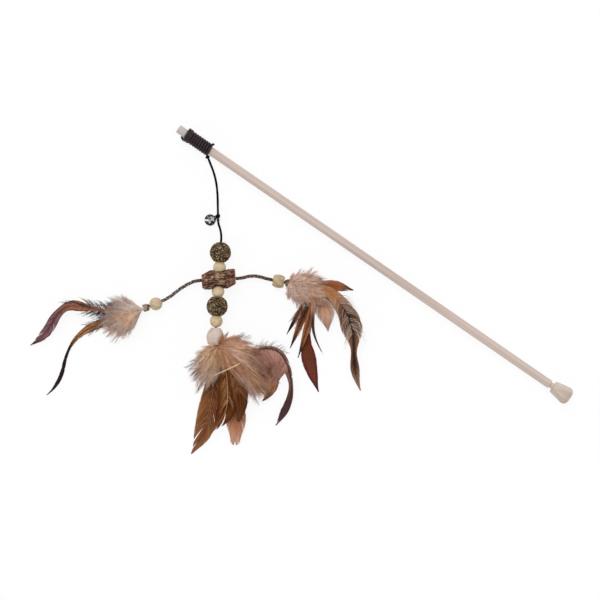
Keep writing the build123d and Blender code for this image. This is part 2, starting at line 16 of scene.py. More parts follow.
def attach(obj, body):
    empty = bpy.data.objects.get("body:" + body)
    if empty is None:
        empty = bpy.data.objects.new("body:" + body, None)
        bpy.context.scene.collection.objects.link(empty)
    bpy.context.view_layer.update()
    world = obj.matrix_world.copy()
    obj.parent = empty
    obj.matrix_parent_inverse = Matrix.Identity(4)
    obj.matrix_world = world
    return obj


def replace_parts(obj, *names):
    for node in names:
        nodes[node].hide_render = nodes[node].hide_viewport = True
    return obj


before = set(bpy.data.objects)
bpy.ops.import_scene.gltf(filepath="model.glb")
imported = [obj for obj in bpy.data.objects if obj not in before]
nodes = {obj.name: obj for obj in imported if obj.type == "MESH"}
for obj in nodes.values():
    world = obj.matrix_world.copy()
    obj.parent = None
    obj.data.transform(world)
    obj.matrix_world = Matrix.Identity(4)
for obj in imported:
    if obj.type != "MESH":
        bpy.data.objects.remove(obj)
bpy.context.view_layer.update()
MM = 0.001
UP = Vector((0, 0, 1))
TABLE_Z = -8.2 * MM

# %% [markdown]
# ## Camera
# The picture is a flat lay seen from straight above, so the camera looks down. A long lens from over two
# metres keeps the rod's edges parallel. The camera is rolled so that the rod falls away to the lower right.

# %% Camera
PICTURE_SIDE = 0.558
CAMERA_HEIGHT = 2.4
SENSOR = 36.0
picture_right = Vector((0.8237, 0.5670, 0))
picture_up = Vector((-0.5670, 0.8237, 0))
picture_centre = Vector((0.1835, -0.0671, 0))

camera_data = bpy.data.cameras.new("camera")
camera_data.sensor_width = SENSOR
camera_data.lens = SENSOR * CAMERA_HEIGHT / PICTURE_SIDE
camera = bpy.data.objects.new("camera", camera_data)
camera_axes = Matrix((picture_right, picture_up, UP)).transposed().to_4x4()
camera.matrix_world = Matrix.Translation(picture_centre + UP * CAMERA_HEIGHT) @ camera_axes
bpy.context.scene.collection.objects.link(camera)
bpy.context.scene.camera = camera
bpy.context.scene.view_settings.view_transform = "Standard"
print("lens", round(camera_data.lens, 1))

# %% [markdown]
# ## Helpers for materials
# Every finish starts from the same small kit: a Principled shader, colours written as they look on a screen,
# a noise on Object coordinates, values kept by the mesh and a colour ramp. Written once, they keep each
# finish short.

# %% Material helpers
def screen(red, green, blue):
    """A colour as a screen shows it, 0 to 255, as linear light."""
    parts = []
    for value in (red, green, blue):
        share = value / 255
        parts.append(share / 12.92 if share <= 0.04045 else ((share + 0.055) / 1.055) ** 2.4)
    return (*parts, 1.0)


def mixed(first, second, share):
    """Blend of two screen colours."""
    share = min(max(share, 0), 1)
    return tuple(a + (b - a) * share for a, b in zip(first, second))


def new_finish(name, roughness):
    """A material with one Principled shader."""
    finish = bpy.data.materials.new(name)
    finish.use_nodes = True
    shader = finish.node_tree.nodes["Principled BSDF"]
    shader.inputs["Roughness"].default_value = roughness
    return finish, finish.node_tree, shader


def object_noise(tree, scale, detail=4.0, stretch=(1, 1, 1), turn=(0, 0, 0)):
    """Noise on Object coordinates, stretched along the axes."""
    place = tree.nodes.new("ShaderNodeTexCoord")
    mapping = tree.nodes.new("ShaderNodeMapping")
    mapping.vector_type = "TEXTURE"
    mapping.inputs["Scale"].default_value = stretch
    mapping.inputs["Rotation"].default_value = turn
    pattern = tree.nodes.new("ShaderNodeTexNoise")
    pattern.inputs["Scale"].default_value = scale
    pattern.inputs["Detail"].default_value = detail
    tree.links.new(place.outputs["Object"], mapping.inputs["Vector"])
    tree.links.new(mapping.outputs["Vector"], pattern.inputs["Vector"])
    return pattern


def ramp(tree, source, stops):
    """Colour ramp from a value; stops are (place, screen colour)."""
    node = tree.nodes.new("ShaderNodeValToRGB")
    elements = node.color_ramp.elements
    while len(elements) < len(stops):
        elements.new(0.5)
    for element, (place, colour) in zip(elements, stops):
        element.position = place
        element.color = screen(*colour)
    tree.links.new(source, node.inputs["Fac"])
    return node.outputs["Color"]


def bump(tree, shader, source, strength, distance):
    """Fine relief from a value."""
    node = tree.nodes.new("ShaderNodeBump")
    node.inputs["Strength"].default_value = strength
    node.inputs["Distance"].default_value = distance
    tree.links.new(source, node.inputs["Height"])
    tree.links.new(node.outputs["Normal"], shader.inputs["Normal"])


def blend_colours(tree, mode, share, first, second):
    """Mix two colours; share is a number or a socket."""
    node = tree.nodes.new("ShaderNodeMix")
    node.data_type = "RGBA"
    node.blend_type = mode
    for socket, value in ((node.inputs["Factor"], share), (node.inputs[6], first), (node.inputs[7], second)):
        if isinstance(value, bpy.types.NodeSocket):
            tree.links.new(value, socket)
        else:
            socket.default_value = value
    return node.outputs[2]


def own_value(tree, name):
    """Outputs of a value or colour that the mesh keeps at its points."""
    node = tree.nodes.new("ShaderNodeAttribute")
    node.attribute_name = name
    return node.outputs


def wear(name, finish):
    """Give a solid its finish."""
    slots = nodes[name].data.materials
    slots.clear()
    slots.append(finish)


def add_piece(name, mesh, finish, body):
    """A smooth object from a mesh, on its body and in its material slot."""
    mesh.polygons.foreach_set("use_smooth", [True] * len(mesh.polygons))
    mesh.materials.append(finish)
    piece = bpy.data.objects.new(name, mesh)
    bpy.context.scene.collection.objects.link(piece)
    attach(piece, body)
    return piece


# %% [markdown]
# ## Wood of the rod and the knob
# Planed birch or beech is nearly plain: faint streaks run along the grain and tiny pores catch the light. The
# noise is stretched sixty times along the rod. The knob is turned on a lathe, so it also has fine rings round
# its axis. The sawn tip shows end grain, which drinks light and looks greyer.

# %% Wood
def streaked_wood(name, stops, stretch, turn=(0, 0, 0), rings=0.0):
    finish, tree, shader = new_finish(name, 0.62)
    broad = object_noise(tree, 330.0, 5.0, stretch, turn)
    fine = object_noise(tree, 1500.0, 3.0, stretch, turn)
    colour = ramp(tree, broad.outputs["Fac"], stops)
    streaks = ramp(tree, fine.outputs["Fac"], ((0.32, (214, 200, 190)), (0.55, (255, 255, 255))))
    colour = blend_colours(tree, "MULTIPLY", 0.25, colour, streaks)
    if rings:
        place = tree.nodes.new("ShaderNodeTexCoord")
        wave = tree.nodes.new("ShaderNodeTexWave")
        wave.bands_direction = "X"
        wave.inputs["Scale"].default_value = rings
        wave.inputs["Distortion"].default_value = 1.2
        wave.inputs["Detail"].default_value = 2.0
        tree.links.new(place.outputs["Object"], wave.inputs["Vector"])
        marks = ramp(tree, wave.outputs["Fac"], ((0.0, (212, 198, 186)), (0.35, (255, 255, 255))))
        colour = blend_colours(tree, "MULTIPLY", 0.6, colour, marks)
    tree.links.new(colour, shader.inputs["Base Color"])
    bump(tree, shader, fine.outputs["Fac"], 0.25, 0.00015)
    return finish, tree, shader, colour


ROD_STOPS = ((0.3, (188, 169, 159)), (0.5, (202, 184, 174)), (0.7, (210, 193, 184)))
KNOB_STOPS = ((0.3, (182, 164, 150)), (0.5, (204, 189, 177)), (0.7, (216, 203, 191)))
END_GRAIN_FROM, END_GRAIN_TO, END_GRAIN_SHARE = 9.5 * MM, 7.0 * MM, 0.75
rod_finish, rod_tree, rod_shader, rod_colour = streaked_wood("rod_wood", ROD_STOPS, (60, 1, 1))
rod_place = rod_tree.nodes.new("ShaderNodeTexCoord")
rod_split = rod_tree.nodes.new("ShaderNodeSeparateXYZ")
rod_tree.links.new(rod_place.outputs["Object"], rod_split.inputs["Vector"])
end_grain = rod_tree.nodes.new("ShaderNodeMapRange")
end_grain.inputs["From Min"].default_value = END_GRAIN_FROM
end_grain.inputs["From Max"].default_value = END_GRAIN_TO
end_grain.inputs["To Max"].default_value = END_GRAIN_SHARE
rod_tree.links.new(rod_split.outputs["X"], end_grain.inputs["Value"])
rod_colour = blend_colours(rod_tree, "MIX", end_grain.outputs["Result"], rod_colour, screen(190, 184, 182))
rod_tree.links.new(rod_colour, rod_shader.inputs["Base Color"])
wear("rod", rod_finish)
wear("end_knob", streaked_wood("knob_wood", KNOB_STOPS, (12, 1, 1), rings=210.0)[0])
BEAD_STOPS = ((0.28, (182, 156, 120)), (0.5, (204, 182, 146)), (0.72, (218, 199, 166)))
bead_grain = {
    "upper_bead": (0.2, 0.1, 0.4), "middle_bead": (0.9, 0.3, 1.1), "lower_bead": (0.3, 1.2, 2.0),
    "left_bead": (1.4, 0.2, 0.3), "right_bead": (0.1, 0.8, 0.5), "ferrule_bead": (0.0, 0.1, -1.03),
}
own_stops = {
    "left_bead": ((0.28, (174, 148, 116)), (0.5, (196, 174, 142)), (0.72, (210, 191, 163))),
    "right_bead": ((0.28, (155, 131, 94)), (0.5, (181, 159, 125)), (0.72, (195, 176, 145))),
    "ferrule_bead": ((0.28, (188, 168, 156)), (0.5, (205, 187, 176)), (0.72, (217, 202, 193))),
}
for bead_name, grain_turn in bead_grain.items():
    stops = own_stops.get(bead_name, BEAD_STOPS)
    wear(bead_name, streaked_wood(bead_name + "_wood", stops, (9, 1, 1), grain_turn)[0])
print("wooden pieces", 2 + len(bead_grain))

# %% [markdown]
# ## Bell
# The bell is two spun half shells of nickel-plated steel with a rolled seam. The plating is a smooth metal
# with dull smudges, so the shader is fully metallic, and one noise drives its roughness and also very dark
# patches painted into its colour, a painted reflection of dark surroundings.

# %% Nickel
nickel, nickel_tree, nickel_shader = new_finish("nickel", 0.2)
nickel_shader.inputs["Metallic"].default_value = 1.0
smudges_and_painted_reflections = object_noise(nickel_tree, 320.0, 2.0)
# Painted reflection: very dark patches in the base colour stand in for dark surroundings that the bell
# mirrors
painted_dark_reflections = ((0.44, (24, 21, 23)), (0.53, (76, 72, 74)), (0.61, (190, 186, 188)))
nickel_tree.links.new(ramp(nickel_tree, smudges_and_painted_reflections.outputs["Fac"], painted_dark_reflections), nickel_shader.inputs["Base Color"])
polish = nickel_tree.nodes.new("ShaderNodeMapRange")
polish.inputs["To Min"].default_value = 0.12
polish.inputs["To Max"].default_value = 0.34
nickel_tree.links.new(smudges_and_painted_reflections.outputs["Fac"], polish.inputs["Value"])
nickel_tree.links.new(polish.outputs["Result"], nickel_shader.inputs["Roughness"])
metal_nodes = ("bell_cap", "bell_cup", "bell_eye", "bell_pellet")
for metal_node in metal_nodes:
    wear(metal_node, nickel)
print("metal pieces", len(metal_nodes))

# %% [markdown]
# ## Strands
# Cords, braids, barbs and down are all strands: a centre line with a radius at each point. One curve object
# can hold thousands of splines, and Blender turns it into a mesh in one go. Each point's colour goes into a
# mesh attribute, so a feather can darken towards its tip without any picture.

# %% Strand helpers
def strand_piece(name, strands, finish, body, smooth_sides=0, capped=False):
    """One mesh from many strands; a strand is (points, radii, screen colours)."""
    curve = bpy.data.curves.new(name, "CURVE")
    curve.dimensions = "3D"
    curve.bevel_depth = 1.0
    curve.bevel_resolution = smooth_sides
    curve.use_fill_caps = capped
    for points, radii, _ in strands:
        spline = curve.splines.new("POLY")
        spline.points.add(len(points) - 1)
        spline.points.foreach_set("co", [value for point in points for value in (*point, 1.0)])
        spline.points.foreach_set("radius", radii)
    holder = bpy.data.objects.new(name + "_line", curve)
    mesh = bpy.data.meshes.new_from_object(holder)
    bpy.data.objects.remove(holder)
    mesh.name = name
    sides = 4 + 2 * smooth_sides
    rings = [colours[end] for _, _, colours in reversed(strands) for end in (-1, 0)] if capped else []
    rings += [colour for _, _, colours in strands for colour in colours]
    tints = [screen(*colour) for colour in rings for _ in range(sides)]
    tint = mesh.attributes.new("tint", "FLOAT_COLOR", "POINT")
    tint.data.foreach_set("color", [value for colour in tints for value in colour])
    piece = add_piece(name, mesh, finish, body)
    print(name, "strands", len(strands), "vertices", len(mesh.vertices))
    return piece


def strand_finish(name, roughness, mottle, scale, shine):
    """Colour from the strand's own tint, mottled by noise."""
    finish, tree, shader = new_finish(name, roughness)
    pattern = object_noise(tree, scale, 5.0)
    low = 255 * (1 - mottle)
    shade = ramp(tree, pattern.outputs["Fac"], ((0.3, (low, low, low)), (0.65, (255, 255, 255))))
    colour = blend_colours(tree, "MULTIPLY", 1.0, own_value(tree, "tint")["Color"], shade)
    tree.links.new(colour, shader.inputs["Base Color"])
    shader.inputs["Specular IOR Level"].default_value = shine
    return finish


def route_line(points, fineness):
    """Points of a smooth NURBS line with the route's points as its controls."""
    curve = bpy.data.curves.new("route", "CURVE")
    curve.dimensions = "3D"
    curve.resolution_u = fineness
    spline = curve.splines.new("NURBS")
    spline.points.add(len(points) - 1)
    for control, place in zip(spline.points, points):
        control.co = (*place, 1.0)
    spline.order_u = 3
    spline.use_endpoint_u = True
    holder = bpy.data.objects.new("route", curve)
    mesh = bpy.data.meshes.new_from_object(holder)
    line = [vertex.co.copy() for vertex in mesh.vertices]
    bpy.data.objects.remove(holder)
    bpy.data.meshes.remove(mesh)
    return line


def line_length(line):
    return sum((b - a).length for a, b in zip(line, line[1:]))


def line_frames(line, first_side):
    """Place, distance, sideways and upward directions at each point, carried along the line."""
    frames = []
    side = Vector(first_side)
    distance = 0.0
    for index, place in enumerate(line):
        ahead = (line[min(index + 1, len(line) - 1)] - line[max(index - 1, 0)]).normalized()
        side = (side - ahead * side.dot(ahead)).normalized()
        if index:
            distance += (place - line[index - 1]).length
        frames.append((place, distance, side, ahead.cross(side)))
    return frames


def laid_strands(line, first_side, count, offset, radius, lay, colour_at):
    """Plies of a twisted cord round a line."""
    frames = line_frames(line, first_side)
    plies = []
    for ply in range(count):
        points, colours = [], []
        for place, distance, side, above in frames:
            angle = 2 * math.pi * (distance / lay + ply / count)
            points.append(place + side * (offset * math.cos(angle)) + above * (offset * math.sin(angle)))
            colours.append(colour_at(distance, ply))
        plies.append((points, [radius] * len(points), colours))
    return plies


waxed = strand_finish("waxed_cord", 0.6, 0.3, 900.0, 0.06)
spun = strand_finish("spun_cord", 0.85, 0.4, 1100.0, 0.15)
print("strand finishes", waxed.name, spun.name)

# %% [markdown]
# ## Lead
# The lead is a three-ply waxed cord, two millimetres thick and nearly black, so tightly laid that it looks
# round. It leaves the hitch, lies slack on the table, is knotted at the bell and then runs straight down
# through every ball and bead to a stop knot inside the last one. Each ply is a strand that winds round the
# lead's smooth line.

# %% Lead
CORD = 2.0 * MM
PLY_OFFSET, PLY_RADIUS, PLY_LAY = CORD * 0.14, CORD * 0.42, 6.0 * MM
upper_route = [
    (0.03944, -0.00764, -0.0013), (0.04406, -0.01065, -0.0023), (0.05056, -0.01516, -0.0033),
    (0.05796, -0.02185, -0.004), (0.06491, -0.03018, -0.0042), (0.07074, -0.0383, -0.0035),
    (0.07516, -0.04436, -0.0025),
]
lower_route = [
    (0.07794, -0.0484, -0.0024), (0.08012, -0.05139, -0.0022), (0.0844, -0.05427, -0.0008),
    (0.08937, -0.0591, 0.0018), (0.09242, -0.06417, 0.0018),
]
string_start = Vector(lower_route[-1])
string_way = Vector((0.51576, -0.85673, 0))
STRING_RUNS = (0.012, 0.03, 0.048, 0.066, 0.0858)
lower_route += [tuple(string_start + string_way * run) for run in STRING_RUNS]


def lead_colour(distance, ply):
    return mixed((3, 3, 3), (14, 12, 11), 0.5 + 0.5 * noise.noise((distance * 400, ply * 7.0, 0)))


def lead_piece(name, route, replaced, body):
    line = route_line(route, 26)
    plies = laid_strands(line, UP, 3, PLY_OFFSET, PLY_RADIUS, PLY_LAY, lead_colour)
    piece = strand_piece(name, plies, waxed, body, 2, True)
    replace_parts(piece, *replaced)
    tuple(line[0])
    round(line_length(line), 4)
    print(name, "length", round(line_length(line), 4))


lead_piece("lead_slack", upper_route, ("upper_lead",), "lead")
lead_piece("lead_string", lower_route, ("lower_lead", "string_core"), "string")

# %% [markdown]
# ## Whipping and knots
# The lead is whipped round the rod: ten close turns, about a turn and a half more drawn over them at the tip
# end, two cut tails, and a hitch where the lead comes away. The turns follow a helix that beds in the rod's
# shallow seat, and wax and pull have spread the cord until the turns touch. Each knot is a turn or two drawn
# tight round the cord that passes through it.

# %% Whipping
SEAT_RADIUS = 3.7 * MM
WHIP_START = 9.55 * MM
WHIP_PITCH = 2.6 * MM
WHIP_TURNS = 10
WHIP_CORD = 2.5 * MM
WHIP_RADIUS = SEAT_RADIUS + WHIP_CORD / 2
OVER_START, OVER_PITCH, OVER_RISE, OVER_TURNS = 9.6 * MM, 2.3 * MM, 0.6 * MM, 1.6
MAIN_END, OVER_END = 180, 200


def helix(start, pitch, radius, turns, last_angle, points_per_turn=72):
    """Points of a helix along the rod, ending at an angle from +Y towards +Z."""
    line = []
    for step in range(int(turns * points_per_turn) + 1):
        turn = step / points_per_turn
        angle = math.radians(last_angle) + 2 * math.pi * (turn - turns)
        line.append(Vector((start + pitch * turn, radius * math.cos(angle), radius * math.sin(angle))))
    return line


def whip_colour(distance, ply):
    shade = 0.5 + 0.5 * noise.noise((distance * 240, ply * 5.0, 3.0))
    return mixed((24, 12, 16), (54, 31, 37), shade)


def cord_plies(line, cord):
    return laid_strands(line, (1, 0, 0), 3, cord * 0.05, cord * 0.52, 5.0 * MM, whip_colour)


main_turns = helix(WHIP_START, WHIP_PITCH, WHIP_RADIUS, WHIP_TURNS, MAIN_END)
over_turns = helix(OVER_START, OVER_PITCH, WHIP_RADIUS + OVER_RISE, OVER_TURNS, OVER_END)
tip_tail = route_line([(0.0108, -0.0058, -0.0036), (0.0094, -0.0060, -0.0020), (0.0080, -0.0054, -0.0006),
                       (0.0068, -0.0046, 0.0004)], 16)
knob_tail = route_line([(0.0336, 0.0040, 0.0042), (0.0344, 0.0054, 0.0034), (0.0351, 0.0062, 0.0026),
                        (0.0357, 0.0066, 0.0020)], 16)
whip_strands = [ply for line in (main_turns, over_turns) for ply in cord_plies(line, WHIP_CORD)]
whip_strands += [ply for line in (tip_tail, knob_tail) for ply in cord_plies(line, CORD)]
drawn_wax = strand_finish("drawn_waxed_cord", 0.4, 0.2, 900.0, 0.28)
whipping = strand_piece("whipping_turns", whip_strands, drawn_wax, "wand", 1, True)
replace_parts(whipping, "whipping")
KNOT_STEPS, KNOT_PITCH, KNOT_HALF = 40, 1.5 * MM, 2.3


def knot_turns(centre, way, radius, turns, pitch):
    """Turns drawn tight round a cord at a place, along a way."""
    ahead = Vector(way).normalized()
    side = ahead.orthogonal().normalized()
    above = ahead.cross(side)
    line = []
    for step in range(int(turns * KNOT_STEPS) + 1):
        turn = step / KNOT_STEPS
        angle = 2 * math.pi * turn
        place = Vector(centre) + ahead * (pitch * (turn - turns / 2)) + side * (radius * math.cos(angle))
        line.append(place + above * (radius * math.sin(angle)))
    return line


def knot_piece(name, centre, way, turns, through, body, replaced):
    line = knot_turns(centre, way, CORD * 0.58, turns, KNOT_PITCH)
    plies = laid_strands(line, way, 3, PLY_OFFSET, PLY_RADIUS * 0.95, PLY_LAY, lead_colour)
    plies += laid_strands(route_line(through, 8), UP, 3, PLY_OFFSET, PLY_RADIUS, PLY_LAY, lead_colour)
    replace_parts(strand_piece(name, plies, waxed, body, 1, True), replaced)


def passing(knot, way):
    """The stretch of cord that runs straight through a knot."""
    return [knot - way * KNOT_HALF * MM, knot, knot + way * KNOT_HALF * MM]


HITCH = Vector((0.0372, -0.00615, -0.001))
LEAD_WAY = Vector((0.567, -0.8237, 0))
BELL_KNOT = Vector((0.07638, -0.04614, -0.0025))
STOP_RUN = 87.9
STOP_KNOT = string_start + string_way * STOP_RUN * MM
lead_root = [(0.0342, -0.0030, 0.0042), (0.0352, -0.0047, 0.0022), HITCH, upper_route[0], upper_route[1]]
bell_pass, stop_pass = passing(BELL_KNOT, LEAD_WAY), passing(STOP_KNOT, string_way)
knot_piece("hitch_turns", HITCH, LEAD_WAY, 1.0, lead_root, "wand", "lead_hitch")
knot_piece("bell_knot_turns", BELL_KNOT, LEAD_WAY, 2.0, bell_pass, "lead", "bell_knot")
knot_piece("stop_knot_turns", STOP_KNOT, string_way, 2.0, stop_pass, "string", "stop_knot")
BELL_PLACE = Vector((0.07242, -0.05317, -0.0024))
LOOP_SHARE = 0.7
bell_way = (BELL_PLACE - BELL_KNOT).normalized()
loop_side = bell_way.cross(UP) * 1.1 * MM
loop_ends = ((-1, 0.0), (-1, 0.0022), (-0.6, 0.0034), (0.6, 0.0034), (1, 0.0022), (1, 0.0))
bell_loop = route_line([BELL_KNOT + loop_side * hand + bell_way * run for hand, run in loop_ends], 12)
loop_offset, loop_radius = PLY_OFFSET * LOOP_SHARE, PLY_RADIUS * LOOP_SHARE
loop_plies = laid_strands(bell_loop, UP, 3, loop_offset, loop_radius, PLY_LAY, lead_colour)
strand_piece("bell_loop", loop_plies, waxed, "bell", 1, True)

# %% [markdown]
# ## Braided arms
# Each arm is a three-strand braid. A strand swings from side to side while it dips under and over, and the
# three are a third of a cycle apart, with painted shade darkening a strand where it dips under. The left arm
# is stained where it leaves the stick, and the right one turns from reddish to olive on the way to its bead.

# %% Braids
BRAID = 3.3 * MM
BRAID_CYCLE = 7.0 * MM
STRAND_SHADES = (0.05, 0.45, 0.95)
left_route = [
    (0.09656, -0.10485, -0.0019), (0.09299, -0.10779, -0.0019), (0.08953, -0.11333, -0.0019),
    (0.08523, -0.1226, -0.0019), (0.08109, -0.13759, -0.0019), (0.06958, -0.15401, -0.0019),
]
right_route = [
    (0.12438, -0.08346, -0.0019), (0.12773, -0.08073, -0.0019), (0.13233, -0.07508, -0.0019),
    (0.13926, -0.07067, -0.0019), (0.14884, -0.06784, -0.0019), (0.16534, -0.06024, -0.0019),
]


def braid_strands(line, colour_at):
    strands = []
    for ply in range(3):
        points, colours = [], []
        for place, distance, side, above in line_frames(line, UP):
            angle = 2 * math.pi * (distance / BRAID_CYCLE + ply / 3)
            swing = above * (BRAID * 0.27 * math.sin(angle))
            dip = side * (BRAID * 0.17 * math.sin(2 * angle))
            points.append(place + swing + dip)
            # Painted shade: a strand's colour darkens towards near black where it dips under the others
            colours.append(mixed((22, 15, 14), colour_at(distance, ply), 0.62 + 0.6 * math.sin(2 * angle)))
        strands.append((points, [BRAID * 0.24] * len(points), colours))
    return strands


def strand_shade(distance, ply, seed):
    return STRAND_SHADES[ply] + 0.6 * noise.noise((distance * 500, ply * 3.0, seed))


def left_braid_colour(distance, ply):
    shade = strand_shade(distance, ply, 1.0)
    colour = mixed((70, 58, 54), (186, 172, 162), shade)
    return mixed(mixed((86, 54, 56), (150, 112, 112), shade), colour, distance / (12.0 * MM))


def right_braid_colour(distance, ply):
    shade = strand_shade(distance, ply, 9.0)
    colour = mixed((76, 50, 48), (168, 138, 131), shade)
    olive = mixed((66, 49, 32), (136, 118, 91), shade)
    return mixed(colour, olive, (distance - 20.0 * MM) / (10.0 * MM))


def braid_end(line):
    """The line, drawn back to the stick by a braid's own radius."""
    back = (line[0] - line[1]).normalized()
    return [line[0] + back * (BRAID / 2 * share) for share in (1.0, 0.66, 0.33)] + line


arms = (("left", left_route, left_braid_colour), ("right", right_route, right_braid_colour))
for side, route, colour_at in arms:
    line = braid_end(route_line(route, 24))
    strands = braid_strands(line, colour_at)
    arm = strand_piece(side + "_arm_braid", strands, spun, side + "_wing", 2, True)
    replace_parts(arm, side + "_braid")
    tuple(line[0])
    round(line_length(line), 4)
    print(side, "arm length", round(line_length(line), 4))
STICK_CENTRE = Vector((0.11047, -0.09415, 0.0018))
STICK_WAY = Vector((0.79284, 0.60943, 0))
BRAID_DROP = Vector((0, 0, -3.7 * MM))
STICK_LENGTH = 31.2 * MM
core_line = [STICK_CENTRE + BRAID_DROP + STICK_WAY * (STICK_LENGTH * (step / 40 - 0.5)) for step in range(41)]
core_strands = braid_strands(core_line, right_braid_colour)
core = strand_piece("stick_braid", core_strands, spun, "stick", 2, True)
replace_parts(core, "braid_core")

# %% [markdown]
# ## Thread bindings
# Two layers of three-ply thread, wound one over the other, tie each bundle of quills to the end of its braid.

# %% Bindings
LEFT_END, LEFT_WAY = Vector(left_route[-1]), Vector((-0.57411, -0.81877, 0))
RIGHT_END, RIGHT_WAY = Vector(right_route[-1]), Vector((0.9084, 0.4181, 0))
BINDING_CENTRE = 0.25 * MM
# Radius, turns and pitch of each layer
BINDING_LAYERS = ((2.7 * MM, 2.6, 2.0 * MM), (3.0 * MM, 3.0, 1.5 * MM))


def binding_piece(side, end, way, pale, dark, dark_start):
    def colour_at(distance, ply):
        stripe = 0.5 + 0.5 * math.sin(distance * 420 + ply)
        colour = mixed(dark, pale, stripe + 0.4 * noise.noise((distance * 300, ply * 3.0, 4.0)))
        # The thread is darker over its first stretch, at the braid's side
        return mixed((52, 38, 32), colour, distance / dark_start)

    plies = []
    for radius, turns, pitch in BINDING_LAYERS:
        line = knot_turns(end + way * BINDING_CENTRE, way, radius, turns, pitch)
        plies += laid_strands(line, way, 3, 0.3 * MM, 0.42 * MM, 3.4 * MM, colour_at)
    piece = strand_piece(side + "_binding_thread", plies, spun, side + "_wing", 1, True)
    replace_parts(piece, side + "_binding")


binding_piece("left", LEFT_END, LEFT_WAY, (222, 200, 172), (132, 106, 82), 0.5 * MM)
binding_piece("right", RIGHT_END, RIGHT_WAY, (214, 172, 150), (112, 80, 62), 3.0 * MM)

# %% [markdown]
# ## Flecked balls
# The balls are pressed from chopped stalks and leaf, so the surface is a crust of small flakes, dark in the
# cracks and straw coloured on the flakes. A ball starts as an icosphere whose points are pushed out by cell
# noise, and the same cells are kept as an attribute for the colour.

# %% Balls
BALL_RADIUS = 10.0 * MM
BEAD_RADIUS = 6.0 * MM
BEAD_ROOM = BEAD_RADIUS + 0.3 * MM
HOLE_RADIUS = 2.2 * MM
FLAKES = 8.5
fleck_stops = ((0.0, (26, 18, 12)), (0.25, (62, 47, 32)), (0.48, (104, 84, 58)), (0.72, (172, 146, 108)),
               (1.0, (242, 222, 188)))


def flecked_finish():
    finish, tree, shader = new_finish("flecked_crust", 0.9)
    grain = object_noise(tree, 1800.0, 4.0)
    shade = ramp(tree, grain.outputs["Fac"], ((0.3, (170, 160, 146)), (0.6, (255, 255, 255))))
    colour = ramp(tree, own_value(tree, "fleck")["Fac"], fleck_stops)
    tree.links.new(blend_colours(tree, "MULTIPLY", 0.9, colour, shade), shader.inputs["Base Color"])
    shader.inputs["Specular IOR Level"].default_value = 0.2
    return finish


flecked = flecked_finish()


def swayed(place, step):
    """Three noises about a place, as a vector that bends a pattern."""
    shifts = (Vector((0, 0, 0)), Vector((step, 0, 0)), Vector((0, step, 0)))
    return Vector([noise.noise(place + shift) for shift in shifts])


def pushed_off(place, beads):
    """A point moved out of the beads that bed into a piece."""
    for bead in beads:
        off_bead = place - bead
        if off_bead.length < BEAD_ROOM:
            place = bead + off_bead.normalized() * BEAD_ROOM
    return place


def flecked_ball(name, centre, beads, seed):
    shape = bmesh.new()
    bmesh.ops.create_icosphere(shape, subdivisions=6, radius=BALL_RADIUS)
    flecks = []
    for vertex in shape.verts:
        ray = vertex.co.normalized()
        distances, cells = noise.voronoi(ray * FLAKES + swayed(ray * 6, 9) * 0.5 + Vector((seed, 0, 0)))
        flake = min((distances[1] - distances[0]) * 2.6, 1.0)
        tone = 0.5 + 0.5 * noise.noise(cells[0] * 3.7)
        lump = noise.fractal(ray * 4.0 + Vector((0, seed, 0)), 0.6, 2.1, 3)
        edge = 0.35 * math.exp(-((flake - 0.55) / 0.18) ** 2)
        fleck = flake * (0.1 + 0.95 * tone) + edge + 0.12 * lump
        flecks.append(min(max(0.4 + 1.5 * (fleck - 0.42), 0), 1))
        place = centre + ray * (BALL_RADIUS + (0.8 * flake - 0.8 + 0.2 * lump) * MM)
        along = (place - string_start).dot(string_way)
        axis_place = string_start + string_way * along
        off_axis = (place - axis_place).length
        if off_axis < HOLE_RADIUS:
            place += (centre - axis_place).normalized() * (HOLE_RADIUS - off_axis) * 0.7
        vertex.co = pushed_off(place, beads)
    mesh = bpy.data.meshes.new(name)
    shape.to_mesh(mesh)
    shape.free()
    mesh.attributes.new("fleck", "FLOAT", "POINT").data.foreach_set("value", flecks)
    piece = add_piece(name + "_crust", mesh, flecked, name)
    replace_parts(piece, name)
    print(name, "vertices", len(mesh.vertices))


def on_string(run):
    return string_start + string_way * (run * MM)


UPPER_BEAD, MIDDLE_BEAD, LOWER_BEAD = on_string(23.8), on_string(46.2), on_string(73.8)
flecked_ball("upper_ball", on_string(10.0), (UPPER_BEAD,), 2.0)
flecked_ball("lower_ball", on_string(60.0), (MIDDLE_BEAD, LOWER_BEAD), 7.0)

# %% [markdown]
# ## Bark stick
# A short length of branch with its bark on lies across the string. The bark is broken into rough plates with
# dark cracks between them, and is redder towards the ends. One end is whittled, the other is sawn to pale
# wood, and two opposite corners are cut away. A finely divided cylinder is pushed in and out by cell noise,
# cut by two planes, and hollowed where the beads bed into it.

# %% Bark stick
STICK_RADIUS = 9.1 * MM
CORNER_LENGTH, CORNER_DEPTH = 8.4 * MM, 4.2 * MM
WHITTLED_BEVEL, SAWN_BEVEL, SAWN_RIM = 2.2 * MM, 0.6 * MM, 0.4 * MM
STICK_ACROSS = STICK_WAY.cross(UP)
BARK_STOPS = ((0.05, (36, 22, 17)), (0.28, (88, 58, 44)), (0.48, (130, 98, 78)), (0.68, (162, 130, 106)),
              (0.95, (200, 172, 148)))


def bark_plate(share, angle):
    """Height of the bark in millimetres and its tone, at a share of the length and an angle."""
    place = Vector((math.cos(angle) * 2.0, math.sin(angle) * 2.0, share * 6.0))
    distances, cells = noise.voronoi(place * 0.75 + swayed(place, 7) * 0.45)
    plate = min((distances[1] - distances[0]) * 3.0, 1.0)
    rough = noise.fractal(place * 3.0, 0.7, 2.0, 4)
    fibre = noise.fractal(Vector((place.x * 4.0, place.y * 4.0, place.z * 0.7)), 0.6, 2.1, 4)
    tone = 0.34 + 0.18 * plate + 0.14 * rough + 0.3 * fibre + 0.2 * noise.noise(cells[0] * 2.3)
    return 0.5 * plate - 0.5 + 0.25 * rough + 0.3 * fibre, 0.45 + 1.35 * (tone - 0.45)


